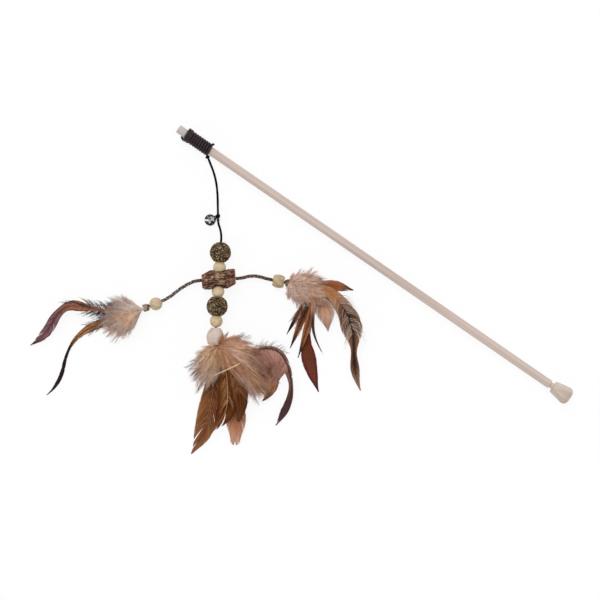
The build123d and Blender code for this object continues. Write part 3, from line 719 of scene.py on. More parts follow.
def notched(place):
    """A point of the bark moved clear of the open notch above the middle bead."""
    off_bead = place - MIDDLE_BEAD
    off_bead.z = 0
    if place.z > MIDDLE_BEAD.z and off_bead.length < BEAD_ROOM:
        place = place + off_bead.normalized() * (BEAD_ROOM - off_bead.length)
    return place


def divided_cylinder():
    """A unit cylinder with fine rings along its side and on its ends."""
    shape = bmesh.new()
    bmesh.ops.create_cone(shape, cap_ends=True, segments=150, radius1=1.0, radius2=1.0, depth=1.0)
    sides = [edge for edge in shape.edges if abs(edge.verts[0].co.z - edge.verts[1].co.z) > 0.5]
    bmesh.ops.subdivide_edges(shape, edges=sides, cuts=120, use_grid_fill=True)
    for _ in range(6):
        caps = [face for face in shape.faces if len(face.verts) > 100]
        bmesh.ops.inset_region(shape, faces=caps, thickness=0.13, use_even_offset=True)
    bmesh.ops.poke(shape, faces=[face for face in shape.faces if len(face.verts) > 100])
    return shape


def bark_finish():
    finish, tree, shader = new_finish("bark", 0.88)
    bark, sawn, blush = (own_value(tree, name)["Fac"] for name in ("bark", "sawn", "blush"))
    grain = object_noise(tree, 900.0, 6.0)
    shade = ramp(tree, grain.outputs["Fac"], ((0.3, (150, 138, 128)), (0.62, (255, 255, 255))))
    colour = blend_colours(tree, "MULTIPLY", 0.85, ramp(tree, bark, BARK_STOPS), shade)
    colour = blend_colours(tree, "MULTIPLY", blush, colour, screen(236, 190, 196))
    colour = blend_colours(tree, "MIX", sawn, colour, screen(206, 170, 150))
    tree.links.new(colour, shader.inputs["Base Color"])
    shader.inputs["Specular IOR Level"].default_value = 0.2
    bump(tree, shader, grain.outputs["Fac"], 0.6, 0.0004)
    return finish


def bark_piece():
    shape = divided_cylinder()
    corner_way = Vector((CORNER_DEPTH, CORNER_LENGTH)).normalized()
    corner_reach = corner_way.dot(Vector((STICK_LENGTH / 2 - CORNER_LENGTH, STICK_RADIUS)))
    tones, cuts, blushes = [], [], []
    for vertex in shape.verts:
        share = min(max(vertex.co.z, -0.5), 0.5)
        radius = math.hypot(vertex.co.x, vertex.co.y)
        angle = math.atan2(vertex.co.y, vertex.co.x)
        height, tone = bark_plate(share, angle)
        end_distance = (0.5 - abs(share)) * STICK_LENGTH
        bevel = WHITTLED_BEVEL if share < 0 else SAWN_BEVEL
        out = radius * (STICK_RADIUS + height * MM - max(bevel - end_distance, 0.0) * 0.8)
        along, up, across = STICK_LENGTH * share, out * math.cos(angle), out * math.sin(angle)
        hand = -1 if share < 0 else 1
        past = corner_way.dot(Vector((hand * along, hand * across))) - corner_reach
        if past > 0:
            along -= hand * corner_way.x * past
            across -= hand * corner_way.y * past
        place = STICK_CENTRE + STICK_WAY * along + UP * up + STICK_ACROSS * across
        vertex.co = notched(pushed_off(place, (UPPER_BEAD, MIDDLE_BEAD)))
        tones.append(min(max(tone - (0.1 if past > 0 else 0), 0), 1))
        rim = 0.6 if end_distance < SAWN_RIM and share > 0 else 0.0
        cuts.append(0.85 if radius < 0.97 and share > 0 else rim)
        blushes.append(0.55 * min(max(abs(share) * 5 - 1.3, 0), 1))
    mesh = bpy.data.meshes.new("bark_log")
    bmesh.ops.recalc_face_normals(shape, faces=shape.faces)
    shape.to_mesh(mesh)
    shape.free()
    for name, values in (("bark", tones), ("sawn", cuts), ("blush", blushes)):
        mesh.attributes.new(name, "FLOAT", "POINT").data.foreach_set("value", values)
    piece = add_piece("bark_log", mesh, bark_finish(), "stick")
    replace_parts(piece, "bark_stick")
    print("bark log vertices", len(mesh.vertices))


bark_piece()

# %% [markdown]
# ## Feathers
# A feather is a horny quill with a vane of barbs on each side. Barbs lean towards the tip and hook together,
# so the vane has a smooth edge, and they part in a few clumps where they have been ruffled. Each barb is a
# short strand that starts on the quill and ends on the vane's edge. The tables of lengths, turns, heights and
# vane widths are the ones that shape the solid blades, but soft barbs fill out the round feather's tip.

# %% Feather tables
PILE_HEIGHT = 10.0
QUILL_RING, PLUME_RING = 2.3, 4.6
ARM_FIRST_SIDE, PLUME_FIRST_SIDE = 1, -1
ROOT_RUN, ARM_STEM, PLUME_STEM = 0.3, 3.6, 6.0
left_feathers = {
    "left_upper_feather": {
        "length": 121.0, "width": 10.0, "roll": 12.0,
        "turns": (-24, 3, -8, -3, 52, 23, -19, -14),
        "rise_shares": (0.0, 0.1, 0.3, 0.4, 0.4, 0.3, 0.1, -0.15, -0.4),
        "vane_shares": (0.0, 0.05, 0.15, 0.4, 1.0, 0.75, 1.0, 0.85, 0.06),
    },
    "left_lower_feather": {
        "length": 129.0, "width": 9.0, "roll": -14.0,
        "turns": (-8, 9, 2, 18, 24, 14, -19, -22),
        "rise_shares": (0.0, -0.04, -0.12, -0.2, -0.25, -0.3, -0.36, -0.42, -0.48),
        "vane_shares": (0.0, 0.1, 0.75, 0.9, 0.55, 0.28, 0.38, 0.4, 0.06),
    },
}
right_feathers = {
    "right_short_spike": {
        "length": 57.0, "width": 4.0, "roll": 10.0,
        "turns": (-42, -61, -7, 1, -1),
        "rise_shares": (0.0, 0.35, 0.5, 0.3, 0.0, -0.3),
        "vane_shares": (0.0, 0.15, 0.6, 1.0, 0.8, 0.1),
    },
    "right_middle_spike": {
        "length": 70.5, "width": 6.4, "roll": -8.0,
        "turns": (-42, -58, -3, 1, -2),
        "rise_shares": (0.0, -0.15, -0.3, -0.36, -0.4, -0.46),
        "vane_shares": (0.0, 0.15, 0.7, 1.0, 0.65, 0.08),
    },
    "right_long_spike": {
        "length": 80.0, "width": 6.6, "roll": 10.0,
        "turns": (-37, -54, -5, 0, -2),
        "rise_shares": (0.0, 0.5, 0.75, 0.6, 0.25, -0.1),
        "vane_shares": (0.0, 0.15, 0.7, 1.0, 0.6, 0.08),
    },
    "right_rust_feather": {
        "length": 113.0, "width": 13.8, "roll": -6.0,
        "turns": (-33, -63, 5, 13, 10, 4, 4),
        "rise_shares": (0.0, -0.04, -0.08, -0.12, -0.2, -0.28, -0.36, -0.44),
        "vane_shares": (0.0, 0.1, 0.36, 0.47, 0.62, 1.0, 0.66, 0.06),
    },
    "right_thin_feather": {
        "length": 79.0, "width": 4.2, "roll": 8.0,
        "turns": (-32, -54, 7, 20, 11),
        "rise_shares": (0.0, 0.8, 1.1, 0.95, 0.6, 0.2),
        "vane_shares": (0.0, 0.3, 1.0, 0.8, 0.4, 0.1),
    },
    "right_pale_feather": {
        "length": 63.5, "width": 23.0, "roll": 4.0,
        "turns": (0, -40, -26, -5, -4),
        "rise_shares": (0.0, 0.06, 0.16, 0.2, 0.15, 0.05),
        "vane_shares": (0.0, 0.15, 0.8, 1.0, 0.65, 0.05),
    },
    "right_dark_feather": {
        "length": 135.0, "width": 20.0, "roll": 8.0,
        "turns": (4, -37, -16, -20, -12, 9, 13),
        "rise_shares": (0.0, 0.6, 1.0, 1.0, 0.7, 0.35, 0.0, -0.3),
        "vane_shares": (0.0, 0.1, 0.5, 0.8, 1.0, 0.3, 0.42, 0.05),
    },
    "right_top_feather": {
        "length": 57.0, "width": 9.5, "roll": -4.0,
        "turns": (10, -4, -9, -3),
        "rise_shares": (0.0, 0.2, 0.45, 0.55, 0.5),
        "vane_shares": (0.0, 0.1, 0.7, 1.0, 0.12),
    },
}
plume_feathers = {
    "plume_long_feather": {
        "length": 105.0, "width": 20.5, "roll": 6.0,
        "turns": (14, -18, -4, -3, -9, -12),
        "rise_shares": (0.0, -0.25, -0.45, -0.6, -0.7, -0.75, -0.8),
        "vane_shares": (0.0, 0.2, 0.75, 1.0, 1.0, 0.7, 0.06),
    },
    "plume_middle_feather": {
        "length": 87.5, "width": 18.0, "roll": -6.0,
        "turns": (50, -44, -2, -29, -15),
        "rise_shares": (0.0, 0.45, 0.65, 0.5, 0.2, -0.1),
        "vane_shares": (0.0, 0.2, 0.8, 1.0, 0.85, 0.08),
    },
    "plume_round_feather": {
        "length": 93.0, "width": 18.0, "roll": 6.0,
        "turns": (45, -22, -7, -7, -6, -4),
        "rise_shares": (0.0, -0.3, -0.48, -0.55, -0.55, -0.55, -0.6),
        "vane_shares": (0.0, 0.2, 0.6, 0.9, 1.05, 1.0, 0.5),
    },
    "plume_short_feather": {
        "length": 76.5, "width": 17.0, "roll": -6.0,
        "turns": (60, -32, -11, -12, -16),
        "rise_shares": (0.0, 0.7, 0.95, 0.8, 0.45, 0.1),
        "vane_shares": (0.0, 0.2, 0.7, 1.0, 0.8, 0.2),
    },
    "plume_inner_curl": {
        "length": 90.0, "width": 19.0, "left_vane_share": 0.35, "roll": 6.0,
        "turns": (83, 7, -16, -37, -49, -38),
        "rise_shares": (0.0, -0.1, -0.15, -0.2, -0.3, -0.4, -0.5),
        "vane_shares": (0.0, 0.2, 0.6, 0.95, 1.0, 0.7, 0.08),
    },
    "plume_outer_curl": {
        "length": 140.5, "width": 10.0, "left_vane_share": 0.3, "roll": -4.0,
        "turns": (84, 22, 13, -32, -48, -19, -12, -18, -18, -9),
        "rise_shares": (0.0, 0.3, 0.5, 0.6, 0.55, 0.4, 0.15, -0.1, -0.4, -0.6, -0.75),
        "vane_shares": (0.0, 0.1, 0.3, 0.6, 0.9, 1.0, 0.7, 0.4, 0.6, 0.7, 0.08),
    },
}

# The foot of each bundle, the way it points, the stem before the vanes, the ring of quills, the side of the
# first quill and the body
tassels = {
    "left": (LEFT_END, LEFT_WAY, ARM_STEM, QUILL_RING, ARM_FIRST_SIDE, "left_wing"),
    "right": (RIGHT_END, RIGHT_WAY, ARM_STEM, QUILL_RING, ARM_FIRST_SIDE, "right_wing"),
    "plume": (on_string(90.2), string_way, PLUME_STEM, PLUME_RING, PLUME_FIRST_SIDE, "plume"),
}
SOOT = (40, 28, 26)
# Colours beside the quill, in the web, at the edge, at the tip and of the quill itself, and the share of the
# length where the tip's colour begins
plumage = {
    "left_upper_feather": ((122, 74, 50), (182, 120, 82), (72, 46, 40), (66, 48, 46), (46, 30, 26), 0.95),
    "left_lower_feather": ((150, 98, 60), (194, 136, 92), (88, 58, 46), SOOT, (60, 40, 30), 0.58),
    "right_short_spike": ((92, 52, 32), (166, 104, 68), (184, 134, 102), (54, 36, 30), (48, 32, 26), 0.74),
    "right_middle_spike": ((104, 58, 34), (176, 110, 70), (196, 140, 102), (58, 38, 32), (52, 34, 28), 0.84),
    "right_long_spike": ((104, 58, 36), (176, 110, 72), (172, 122, 92), (58, 38, 32), (52, 34, 28), 0.86),
    "right_rust_feather": ((112, 60, 34), (122, 54, 32), (72, 34, 25), SOOT, (84, 50, 40), 0.95),
    "right_thin_feather": ((164, 118, 92), (196, 148, 118), (150, 116, 96), (140, 116, 104), SOOT, 0.9),
    "right_pale_feather": (
        (208, 148, 108), (224, 178, 150), (222, 192, 180), (190, 150, 130), (180, 128, 96), 0.88,
    ),
    "right_dark_feather": (
        (178, 120, 80), (194, 138, 94), (174, 136, 106), (158, 126, 104), (36, 26, 24), 0.9,
    ),
    "right_top_feather": ((152, 86, 50), (174, 106, 68), (180, 126, 96), (96, 62, 54), (136, 90, 68), 0.86),
    "plume_long_feather": ((98, 54, 24), (156, 98, 56), (176, 126, 90), (142, 98, 76), (176, 120, 82), 0.93),
    "plume_middle_feather": ((58, 24, 4), (124, 66, 20), (84, 40, 10), (140, 90, 62), (232, 180, 128), 0.93),
    "plume_round_feather": (
        (170, 108, 74), (198, 138, 104), (214, 164, 138), (206, 158, 132), (190, 134, 100), 0.93,
    ),
    "plume_short_feather": ((56, 24, 5), (118, 64, 22), (78, 40, 13), (104, 60, 38), (150, 98, 64), 0.93),
    "plume_inner_curl": ((176, 122, 92), (196, 144, 114), (132, 92, 70), (86, 58, 48), (120, 82, 64), 0.93),
    "plume_outer_curl": ((70, 44, 38), (158, 112, 98), (84, 54, 46), (84, 56, 54), (40, 27, 24), 0.76),
}
# Colours by the quill and in the web past a share of the length, where a feather changes colour on the way
far_plumage = {
    "left_upper_feather": (0.56, (98, 66, 70), (156, 108, 116)),
    "right_rust_feather": (0.62, (108, 66, 46), (130, 56, 42)),
    "right_thin_feather": (0.46, SOOT, (110, 78, 60)),
    "right_dark_feather": (0.34, (36, 24, 19), (120, 80, 62)),
    "plume_inner_curl": (0.6, (120, 74, 38), (196, 136, 78)),
}
# Loose barbs: shares of the feather's length from and to, reach in millimetres, how far ahead they lean,
# colour, count, and the sides they stand on
BOTH = (-1, 1)
loose_barbs = {
    "left_upper_feather": (
        (0.16, 0.4, 9.0, 1.2, (76, 60, 64), 260, BOTH), (0.36, 0.53, 3.6, 3.6, (58, 40, 36), 150, (-1,)),
        (0.46, 0.54, 2.6, 4.4, (198, 130, 112), 50, (-1,)),
    ),
    "left_lower_feather": ((0.14, 0.4, 7.0, 1.2, (124, 88, 70), 170, BOTH),),
    "right_short_spike": ((0.3, 0.7, 4.0, 2.4, (110, 76, 58), 60, BOTH),),
    "right_middle_spike": ((0.3, 0.7, 4.0, 2.4, (120, 76, 54), 60, BOTH),),
    "right_dark_feather": ((0.3, 0.6, 11.0, 1.2, (206, 176, 154), 120, BOTH),),
    "plume_long_feather": ((0.3, 0.7, 7.0, 1.8, (176, 112, 68), 140, BOTH),),
    "plume_middle_feather": ((0.25, 0.65, 7.0, 1.8, (190, 126, 72), 140, BOTH),),
    "plume_short_feather": ((0.25, 0.65, 7.0, 1.8, (160, 100, 58), 140, BOTH),),
    "plume_outer_curl": (
        (0.3, 0.5, 9.0, 0.8, (150, 132, 128), 45, (1,)), (0.22, 0.6, 21.0, 0.6, (200, 144, 124), 560, (-1,)),
    ),
    "plume_inner_curl": (
        (0.12, 0.8, 26.0, 0.5, (196, 142, 114), 560, (-1,)),
        (0.5, 0.95, 20.0, 0.1, (206, 150, 134), 300, (-1,)),
        (0.3, 0.75, 7.0, 1.0, (176, 124, 104), 160, (1,)),
    ),
}
print("feathers", len(plumage))

# %% Feather barbs
def smooth_share(shares, place):
    """Share at a place counted in rows of a table, on a smooth curve through its rows."""
    row = min(int(place), len(shares) - 2)
    part = place - row
    rows = [min(max(index, 0), len(shares) - 1) for index in range(row - 1, row + 3)]
    before, here, there, after = (shares[index] for index in rows)
    blend = part * part * (3 - 2 * part)
    start_bend = (there - before) / 2 * part * (1 - part) ** 2
    end_bend = (after - here) / 2 * part ** 2 * (1 - part)
    return here + (there - here) * blend + start_bend - end_bend


def bundle_place(tassel, run, side, rise):
    """A place so many millimetres ahead of a bundle's foot, to its left and above it."""
    origin, ahead = tassel[:2]
    return origin + (ahead * run + UP.cross(ahead) * side + UP * rise) * MM


def quill_root(index, count, ring, first_side):
    """Place of a quill on its ring, neighbours in the fan on opposite sides."""
    side = first_side if index % 2 == 0 else -first_side
    angle = side * math.pi * (index + 0.5) / count
    return -ring / 2 * math.cos(angle), side * abs(ring / 2 * math.sin(angle))


def quill_line(spec, tassel, root, steps_per_turn=12):
    """Root and stations of a quill: place, direction across, and the vane to the right and to the left."""
    ahead, stem = tassel[1:3]
    left = UP.cross(ahead)
    steps = steps_per_turn * len(spec["turns"])
    place = Vector((ROOT_RUN + stem, root[0]))
    heading = 0.0
    left_share = spec.get("left_vane_share", 0.5)
    stations = []
    for step in range(steps + 1):
        row, share = step / steps_per_turn, step / steps
        rise = root[1] * (1 - share) + PILE_HEIGHT * smooth_share(spec["rise_shares"], row)
        spot = bundle_place(tassel, place.x, place.y, rise)
        vane = max(spec["width"] * smooth_share(spec["vane_shares"], row), 0.4) * MM
        level = left * math.cos(heading) - ahead * math.sin(heading)
        roll = math.radians(spec["roll"]) * min(1, 2 * share)
        across = level * math.cos(roll) + UP * math.sin(roll)
        stations.append((spot, across, vane * (1 - left_share), vane * left_share))
        if step < steps:
            turn = math.radians(spec["turns"][step // steps_per_turn]) / steps_per_turn
            middle = heading + turn / 2
            place += Vector((math.cos(middle), math.sin(middle))) * (spec["length"] / steps)
            heading += turn
    return bundle_place(tassel, ROOT_RUN, *root), stations


def station_at(stations, share):
    place = min(max(share, 0), 1) * (len(stations) - 1)
    row = min(int(place), len(stations) - 2)
    part = place - row
    return tuple(a + (b - a) * part for a, b in zip(stations[row], stations[row + 1]))


def lifted(point):
    """Keep a strand off the table."""
    return Vector((point.x, point.y, max(point.z, TABLE_Z + 0.25 * MM)))


BARB_STEP = 0.26 * MM
BARB_SHARES = (0.0, 0.25, 0.5, 0.75, 1.0)
BARB_RADII = [0.22 * MM, 0.24 * MM, 0.24 * MM, 0.2 * MM, 0.1 * MM]
LOOSE_RADII = [0.16 * MM, 0.17 * MM, 0.15 * MM, 0.11 * MM, 0.04 * MM]
LEAST_VANE = 0.3 * MM
LEAN = 1.7


def clump_edges(length, dice):
    """Shares of the length where clumps of barbs meet, each with how strongly it gathers."""
    edges, pulls = [0.0], []
    while edges[-1] < 1:
        edges.append(edges[-1] + dice.uniform(6, 16) * MM / length)
        pulls.append(0.3 if dice.random() < 0.06 else 0.04)
    return edges, pulls


def vane_barb(stations, share, tip_share, past, reach, lift):
    """Points of one barb, from the quill to the vane's edge, and the shares of the length they lie at."""
    tip_way = (stations[-1][0] - stations[-2][0]).normalized()
    points, places = [], []
    for step in BARB_SHARES:
        here = share + (tip_share - share) * step ** 1.2
        spot, across = station_at(stations, here)[:2]
        side = reach * (1 - (1 - step) ** 1.5)
        droop = Vector((0, 0, lift * step - 0.06 * abs(reach) * step ** 2))
        points.append(lifted(spot + across * side + tip_way * (past * step) + droop))
        places.append(here)
    return points, places


def quill_strand(name, foot, stations):
    """The quill itself, which thins towards its tip."""
    core, _, _, tip, quill, tip_from = plumage[name]
    near, far_from = (core, far_plumage[name][0]) if name in far_plumage else (quill, 1.0)
    points = [foot] + [station[0] + UP * (0.15 * MM) for station in stations]
    radii = [(0.46 - 0.36 * index / len(points)) * MM for index in range(len(points))]
    colours = []
    for index in range(len(points)):
        place = index / len(points)
        colours.append(mixed(mixed(near, quill, (place - far_from) * 9), tip, (place - tip_from) * 6))
    return points, radii, colours


def barb_colours(name, places, shade):
    """Colours along one barb, a little lighter or darker than its feather."""
    core, web, edge, tip, _, tip_from = plumage[name]
    far_from, far_core, far_web = far_plumage.get(name, (1.0, core, web))
    colours = []
    for step, here in zip(BARB_SHARES, places):
        past_turn = (here - far_from) * 9 + shade
        inner, outer = mixed(core, far_core, past_turn), mixed(web, far_web, past_turn)
        colour = mixed(inner, outer, step * 2.0 + shade)
        colour = mixed(colour, edge, (step - 0.6) * 2.2 + shade)
        colour = mixed(colour, tip, (here - tip_from) * 9 + 0.5 + shade)
        colours.append(mixed(colour, SOOT, -0.35 * shade))
    return colours


def vane_strands(name, length, stations, hand, dice):
    """Barbs of one vane, to the right of the quill for a hand of -1 and to its left for 1."""
    count = int(length / BARB_STEP)
    vane = 2 if hand < 0 else 3
    end_half = stations[-1][vane]
    edges, pulls = clump_edges(length, dice)
    clump = 0
    streak_seed = dice.uniform(0, 50)
    shares = [(index + dice.random()) / count for index in range(count)]
    shares += [dice.uniform(0.84, 1.0) for _ in range(count // 6)]
    strands = []
    for share in sorted(shares):
        while edges[clump + 1] < share:
            clump += 1
        half = station_at(stations, share)[vane]
        if half < LEAST_VANE:
            continue
        clump_size = edges[clump + 1] - edges[clump]
        from_middle = (share - edges[clump]) / clump_size * 2 - 1
        aim = max(share + LEAN * half / length - from_middle * pulls[clump] * clump_size / 2, share)
        past = min(max(aim - 1, 0) * length, 0.97 * end_half)
        tip_share = min(aim, 1.0)
        reach = station_at(stations, tip_share)[vane] * math.sqrt(1 - (past / end_half) ** 2)
        reach *= dice.uniform(0.94, 1.02) * (1 - 0.25 * pulls[clump] * from_middle ** 2)
        lift = dice.uniform(-0.3, 0.3) * MM
        barb, places = vane_barb(stations, share, tip_share, past, hand * reach, lift)
        streak = noise.noise((share * length * 700, streak_seed, 0))
        streak += 0.6 * noise.noise((share * length * 2600, streak_seed, 5))
        shade = 0.6 * streak + dice.uniform(-0.15, 0.15)
        strands.append((barb, BARB_RADII, barb_colours(name, places, shade)))
    return strands


def feather_strands(name, spec, tassel, root, dice):
    foot, stations = quill_line(spec, tassel, root)
    strands = [quill_strand(name, foot, stations)]
    for hand in BOTH:
        strands += vane_strands(name, spec["length"] * MM, stations, hand, dice)
    for tuft in loose_barbs.get(name, ()):
        strands += loose_strands(tuft, stations, dice)
    return strands


def loose_strands(tuft, stations, dice):
    """Soft unhooked barbs that stand out of a feather."""
    start, end, reach, lean, colour, count, hands = tuft
    strands = []
    for _ in range(count):
        share = dice.uniform(start, end)
        hand = dice.choice(hands)
        out, ahead = reach * MM * dice.uniform(0.4, 1.0), lean * dice.uniform(0.5, 1.4)
        lift, curl = dice.uniform(-1.2, 1.2) * MM, dice.uniform(-0.8, 0.8) * MM
        tone = mixed(mixed(colour, SOOT, dice.uniform(-0.4, 0.4)), (244, 232, 224), dice.uniform(-0.4, 0.35))
        spot, across = station_at(stations, share)[:2]
        forward = across.cross(UP).normalized()
        barb = []
        for step in BARB_SHARES:
            side = hand * out * (1 - (1 - step) ** 1.6) + curl * math.sin(4 * step) * step
            barb.append(lifted(spot + forward * (out * ahead * step) + across * side + UP * (lift * step)))
        strands.append((barb, LOOSE_RADII, [tone] * len(barb)))
    return strands


feather_finish = strand_finish("feather_barbs", 0.6, 0.12, 1500.0, 0.1)
for fan_name, fan in (("left", left_feathers), ("right", right_feathers), ("plume", plume_feathers)):
    tassel = tassels[fan_name]
    for index, (name, spec) in enumerate(fan.items()):
        root = quill_root(index, len(fan), *tassel[3:5])
        strands = feather_strands(name, spec, tassel, root, random.Random(name))
        piece = strand_piece(name + "_vane", strands, feather_finish, tassel[5])
        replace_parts(piece, name)

# %% [markdown]
# ## Down
# At the foot of the feathers the barbs have no hooks and puff out into down. Each cloud is thousands of fine
# curling filaments that fan out of the bundle and gather in pointed locks, a few of them well past the rest.
# The first ones lie back over the binding or the ferrule and hide where the quills go in. Filaments shade
# each other, so their colours are written lighter than the cloud looks, yet each filament is painted
# darker towards its root as shade deep in the cloud.

# %% Down
# Places are millimetres ahead of a bundle's foot and to its left. A fan gives how far the thick of a cloud
# reaches at each angle from straight ahead, and a patch gives the colour near a place. Nearer its root than
# the neck's length, a cloud is drawn in. A wisp is how far a stray lock stands out past the thick.
DOWN_COUNT, LOCK_COUNT, PATCH_SIZE = 4890, 420, 8.0
ROOT_SPREAD, SWELL_RUN = 2.5, 11.0
WISP_FROM, WISP_CHANCE, WISP_REACH = 0.75, 0.4, 24
DOWN_RADII = [0.13 * MM, 0.14 * MM, 0.13 * MM, 0.11 * MM, 0.08 * MM, 0.03 * MM]
# A cloud's shade is a painted shade colour: filaments darken towards it near their roots, and dark locks lean
# towards it at random
clouds = {
    "left_down": {
        "tassel": "left", "root": (1.0, 0.0), "height": 22.0, "neck": 30.0, "wisp": 6.0,
        "shade": (206, 174, 156), "wisp_shade": (190, 166, 156),
        "fan": ((-95, 3), (-68, 10), (-57, 19), (-45, 26), (-31, 33), (-18, 40), (-5, 41), (10, 42), (22, 40),
                (29, 35), (36, 25), (44, 15), (54, 8), (95, 3)),
        "patches": (((9, -4), (255, 240, 226)), ((17, -11), (250, 236, 228)), ((36, -13), (150, 128, 130)),
                    ((26, 2), (255, 188, 122)), ((32, 12), (255, 232, 226)), ((40, -1), (206, 166, 140))),
    },
    "right_down": {
        "tassel": "right", "root": (1.0, 0.0), "height": 30.0, "neck": 1.0, "wisp": 9.0,
        "shade": (186, 142, 120), "wisp_shade": (200, 166, 150),
        "fan": ((-115, 3), (-100, 5), (-88, 9), (-75, 13), (-62, 18), (-45, 24), (-30, 32), (-18, 42),
                (-8, 44), (4, 36), (12, 34), (22, 30), (33, 23), (43, 16), (60, 10), (97, 5)),
        "patches": (((5, 0), (246, 214, 190)), ((15, 5), (255, 226, 218)), ((21, -4), (246, 204, 180)),
                    ((8, -14), (246, 226, 214)), ((32, 2), (230, 180, 150)), ((19, -12), (226, 184, 164)),
                    ((42, -9), (226, 172, 124))),
    },
    "plume_down": {
        "tassel": "plume", "root": (6.0, 3.0), "height": 33.0, "neck": 1.0, "wisp": 7.0,
        "shade": (150, 96, 62), "wisp_shade": (116, 90, 78),
        "fan": ((-130, 6), (-110, 7), (-95, 8), (-80, 11), (-60, 22), (-48, 31), (-36, 38), (-22, 44),
                (-10, 42), (0, 33), (13, 29), (25, 33), (31, 42), (35, 56), (39, 62), (43, 64), (48, 63),
                (54, 59), (60, 54), (68, 49), (78, 45), (86, 43), (92, 36), (100, 29), (112, 23), (130, 17),
                (150, 13), (178, 9)),
        "patches": (((6, 5), (230, 176, 132)), ((22, -2), (252, 196, 132)), ((27, -13), (250, 214, 190)),
                    ((13, 16), (242, 182, 136)), ((8, 30), (250, 190, 148)), ((20, 35), (240, 184, 150)),
                    ((36, 38), (228, 174, 142)), ((50, 38), (230, 178, 160)), ((41, -6), (232, 198, 172)),
                    ((36, 25), (206, 146, 100)), ((29, 49), (206, 148, 114)), ((40, 57), (236, 178, 120))),
    },
}


def table_value(stations, values, share):
    rows = list(zip(stations, values))
    for (a, first), (b, second) in zip(rows, rows[1:]):
        if share <= b:
            return first + (second - first) * (share - a) / (b - a)
    return values[-1]


def patch_colour(patches, run, side):
    """Blend of a cloud's patches at a place."""
    pulls = []
    for (patch_run, patch_side), _ in patches:
        apart = (run - patch_run) ** 2 + (side - patch_side) ** 2
        pulls.append(math.exp(-apart / (2 * PATCH_SIZE ** 2)) + 1e-6)
    bands = zip(*(colour for _, colour in patches))
    return tuple(sum(pull * value for pull, value in zip(pulls, band)) / sum(pulls) for band in bands)


def down_lock(angles, reaches, wisp, dice):
    """Angle, share of the reach, share of the height and tone of a lock's end, and how far it strays out."""
    angle = dice.uniform(angles[0], angles[-1])
    while dice.random() * max(reaches) > table_value(angles, reaches, angle):
        angle = dice.uniform(angles[0], angles[-1])
    out = 0.25 + 0.8 * dice.random() ** 0.75
    stray = 0
    if out > WISP_FROM and dice.random() < WISP_CHANCE:
        stray = wisp * min(table_value(angles, reaches, angle) / WISP_REACH, 1) * dice.uniform(0.3, 1.0)
    return angle, out, 1 - 1.5 * dice.random() ** 2.2, dice.uniform(-1, 1), stray


def down_strands(cloud, dice):
    tassel = tassels[cloud["tassel"]]
    angles, reaches = zip(*cloud["fan"])
    middle = sum((Vector(at) for at, _ in cloud["patches"]), Vector((0, 0))) / len(cloud["patches"])

    def spot(angle, out, rise):
        reach = table_value(angles, reaches, angle) * out
        turn = math.radians(angle * min(1, (ROOT_SPREAD + reach) / cloud["neck"]))
        run = cloud["root"][0] + reach * math.cos(turn)
        side = cloud["root"][1] + reach * math.sin(turn)
        swell = min(1, (ROOT_SPREAD + reach) / SWELL_RUN) * math.sqrt(1 - min(out, 0.98) ** 2)
        return run, side, rise * swell * cloud["height"] / 2

    locks = [down_lock(angles, reaches, cloud["wisp"], dice) for _ in range(LOCK_COUNT)]
    strands = []
    for index in range(DOWN_COUNT):
        angle, out, rise, tone, stray = locks[index % LOCK_COUNT]
        looseness = 0.6 if stray else 1 + 7 * max(0.95 - out, 0)
        angle += dice.gauss(0, 1.5) * looseness
        out = max(out + dice.gauss(0, 0.03) * looseness, 0.1)
        run, side, height = spot(angle, out, rise + dice.gauss(0, 0.1))
        outward = (Vector((run, side)) - middle).normalized() * stray * dice.uniform(0.6, 1.1)
        end = bundle_place(tassel, run + outward.x, side + outward.y, height)
        base_angle = angle + dice.gauss(0, 9)
        base_out = max(min(out, 1) - dice.uniform(0.25, 0.6), 0)
        base = bundle_place(tassel, *spot(base_angle, base_out, rise * 0.8))
        bend = (base + end) / 2 + UP * ((end - base).length * 0.15)
        curl_way = Vector((dice.uniform(-1, 1), dice.uniform(-1, 1), dice.uniform(-1, 1)))
        curl, waves = dice.uniform(0.2, 1.0) * MM, dice.uniform(0.6, 1.4)
        tone += dice.gauss(0, 0.3)
        colour = mixed(patch_colour(cloud["patches"], run, side), cloud["shade"], -0.55 * tone)
        colour = mixed(colour, (255, 248, 240), 0.65 * tone)
        points, colours = [], []
        for step in range(len(DOWN_RADII)):
            share = step / (len(DOWN_RADII) - 1)
            place = base * (1 - share) ** 2 + bend * (2 * share * (1 - share)) + end * share ** 2
            points.append(lifted(place + curl_way * (curl * math.sin(math.pi * waves * share) * (1 - share))))
            # Painted shade: each filament is darker towards its root, deep inside the cloud
            shown = mixed(cloud["shade"], colour, 0.75 + 0.6 * share)
            colours.append(mixed(shown, cloud["wisp_shade"], stray / cloud["wisp"] * share))
        strands.append((points, DOWN_RADII, colours))
    return strands


def stray_quill():
    """One pale quill that lies across the plume's down, bowed over it."""
    places = ((20.0, 26.0, 9.0), (22.5, 22.5, 19.0), (27.0, 14.0, 21.0), (34.0, 1.0, 17.0))
    line = route_line([bundle_place(tassels["plume"], *place) for place in places], 8)
    thins = [(0.6 - 0.3 * index / len(line)) * MM for index in range(len(line))]
    return line, thins, [(255, 214, 170)] * len(line)


down_finish = strand_finish("down_filaments", 0.9, 0.1, 300.0, 0.05)
for name, cloud in clouds.items():
    body = tassels[cloud["tassel"]][5]
    strands = down_strands(cloud, random.Random(name))
    if name == "plume_down":
        strands.append(stray_quill())
    piece = strand_piece(name + "_filaments", strands, down_finish, body)
    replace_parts(piece, name)

# %% [markdown]
# ## Table and light
# The picture has a pure white ground with only a breath of shadow. The table is plain white paper, but to the
# camera and to mirrors it is mostly clear, and what shows through it is a white sky. That keeps a faint
# shadow under the wand, and a toy that is swung down below the table still shows. To everything else the sky
# is dimmer, and with one wide soft sun it lights the wand at about the level at which a colour looks as
# written.

# %% Table and light
TABLE_SIDE = 6.0
SHADOW_SHARE = 0.11


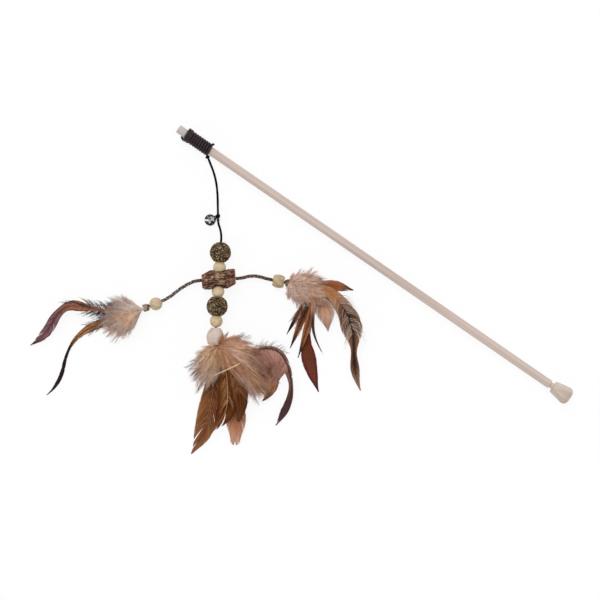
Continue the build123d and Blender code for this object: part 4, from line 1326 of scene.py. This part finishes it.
def shown_to_eye(tree):
    """1 for a ray that reaches the camera straight, by a mirror or through glass, and 0 for any other."""
    rays = tree.nodes.new("ShaderNodeLightPath")
    shown = rays.outputs["Is Camera Ray"]
    for kind in ("Is Glossy Ray", "Is Transmission Ray"):
        either = tree.nodes.new("ShaderNodeMath")
        either.operation = "MAXIMUM"
        tree.links.new(shown, either.inputs[0])
        tree.links.new(rays.outputs[kind], either.inputs[1])
        shown = either.outputs[0]
    return shown


table_shape = bmesh.new()
bmesh.ops.create_grid(table_shape, x_segments=1, y_segments=1, size=TABLE_SIDE / 2)
bmesh.ops.translate(table_shape, verts=table_shape.verts, vec=picture_centre + Vector((0, 0, TABLE_Z)))
table_mesh = bpy.data.meshes.new("table")
table_shape.to_mesh(table_mesh)
table_shape.free()
table_finish = bpy.data.materials.new("white_table")
table_finish.use_nodes = True
table_tree = table_finish.node_tree
table_tree.nodes.clear()
paper = table_tree.nodes.new("ShaderNodeBsdfDiffuse")
paper.inputs["Color"].default_value = (0.97, 0.97, 0.97, 1)
clear = table_tree.nodes.new("ShaderNodeBsdfTransparent")
share_clear = table_tree.nodes.new("ShaderNodeMath")
share_clear.operation = "MULTIPLY"
share_clear.inputs[1].default_value = 1 - SHADOW_SHARE
mix_table = table_tree.nodes.new("ShaderNodeMixShader")
table_out = table_tree.nodes.new("ShaderNodeOutputMaterial")
for source, target in (
    (shown_to_eye(table_tree), share_clear.inputs[0]), (share_clear.outputs[0], mix_table.inputs["Fac"]),
    (paper.outputs[0], mix_table.inputs[1]), (clear.outputs[0], mix_table.inputs[2]),
    (mix_table.outputs[0], table_out.inputs["Surface"]),
):
    table_tree.links.new(source, target)
table_mesh.materials.append(table_finish)
table = bpy.data.objects.new("table", table_mesh)
bpy.context.scene.collection.objects.link(table)

SKY_LEVEL = 0.72
SUN_LEVEL = 1.15
sky = bpy.data.worlds.new("sky")
sky.use_nodes = True
sky_tree = sky.node_tree
sky_tree.nodes["Background"].inputs["Color"].default_value = (1, 1, 1, 1)
strength = sky_tree.nodes.new("ShaderNodeMath")
strength.operation = "MAXIMUM"
strength.inputs[1].default_value = SKY_LEVEL
sky_tree.links.new(shown_to_eye(sky_tree), strength.inputs[0])
sky_tree.links.new(strength.outputs[0], sky_tree.nodes["Background"].inputs["Strength"])
bpy.context.scene.world = sky
sun_data = bpy.data.lights.new("sun", "SUN")
sun_data.energy = SUN_LEVEL
sun_data.angle = math.radians(35)
sun = bpy.data.objects.new("sun", sun_data)
sun_from = picture_up * 0.6 - picture_right * 0.25 + Vector((0, 0, 1.1))
sun.rotation_euler = sun_from.to_track_quat("Z", "Y").to_euler()
bpy.context.scene.collection.objects.link(sun)
print("sky", SKY_LEVEL, "sun", SUN_LEVEL)
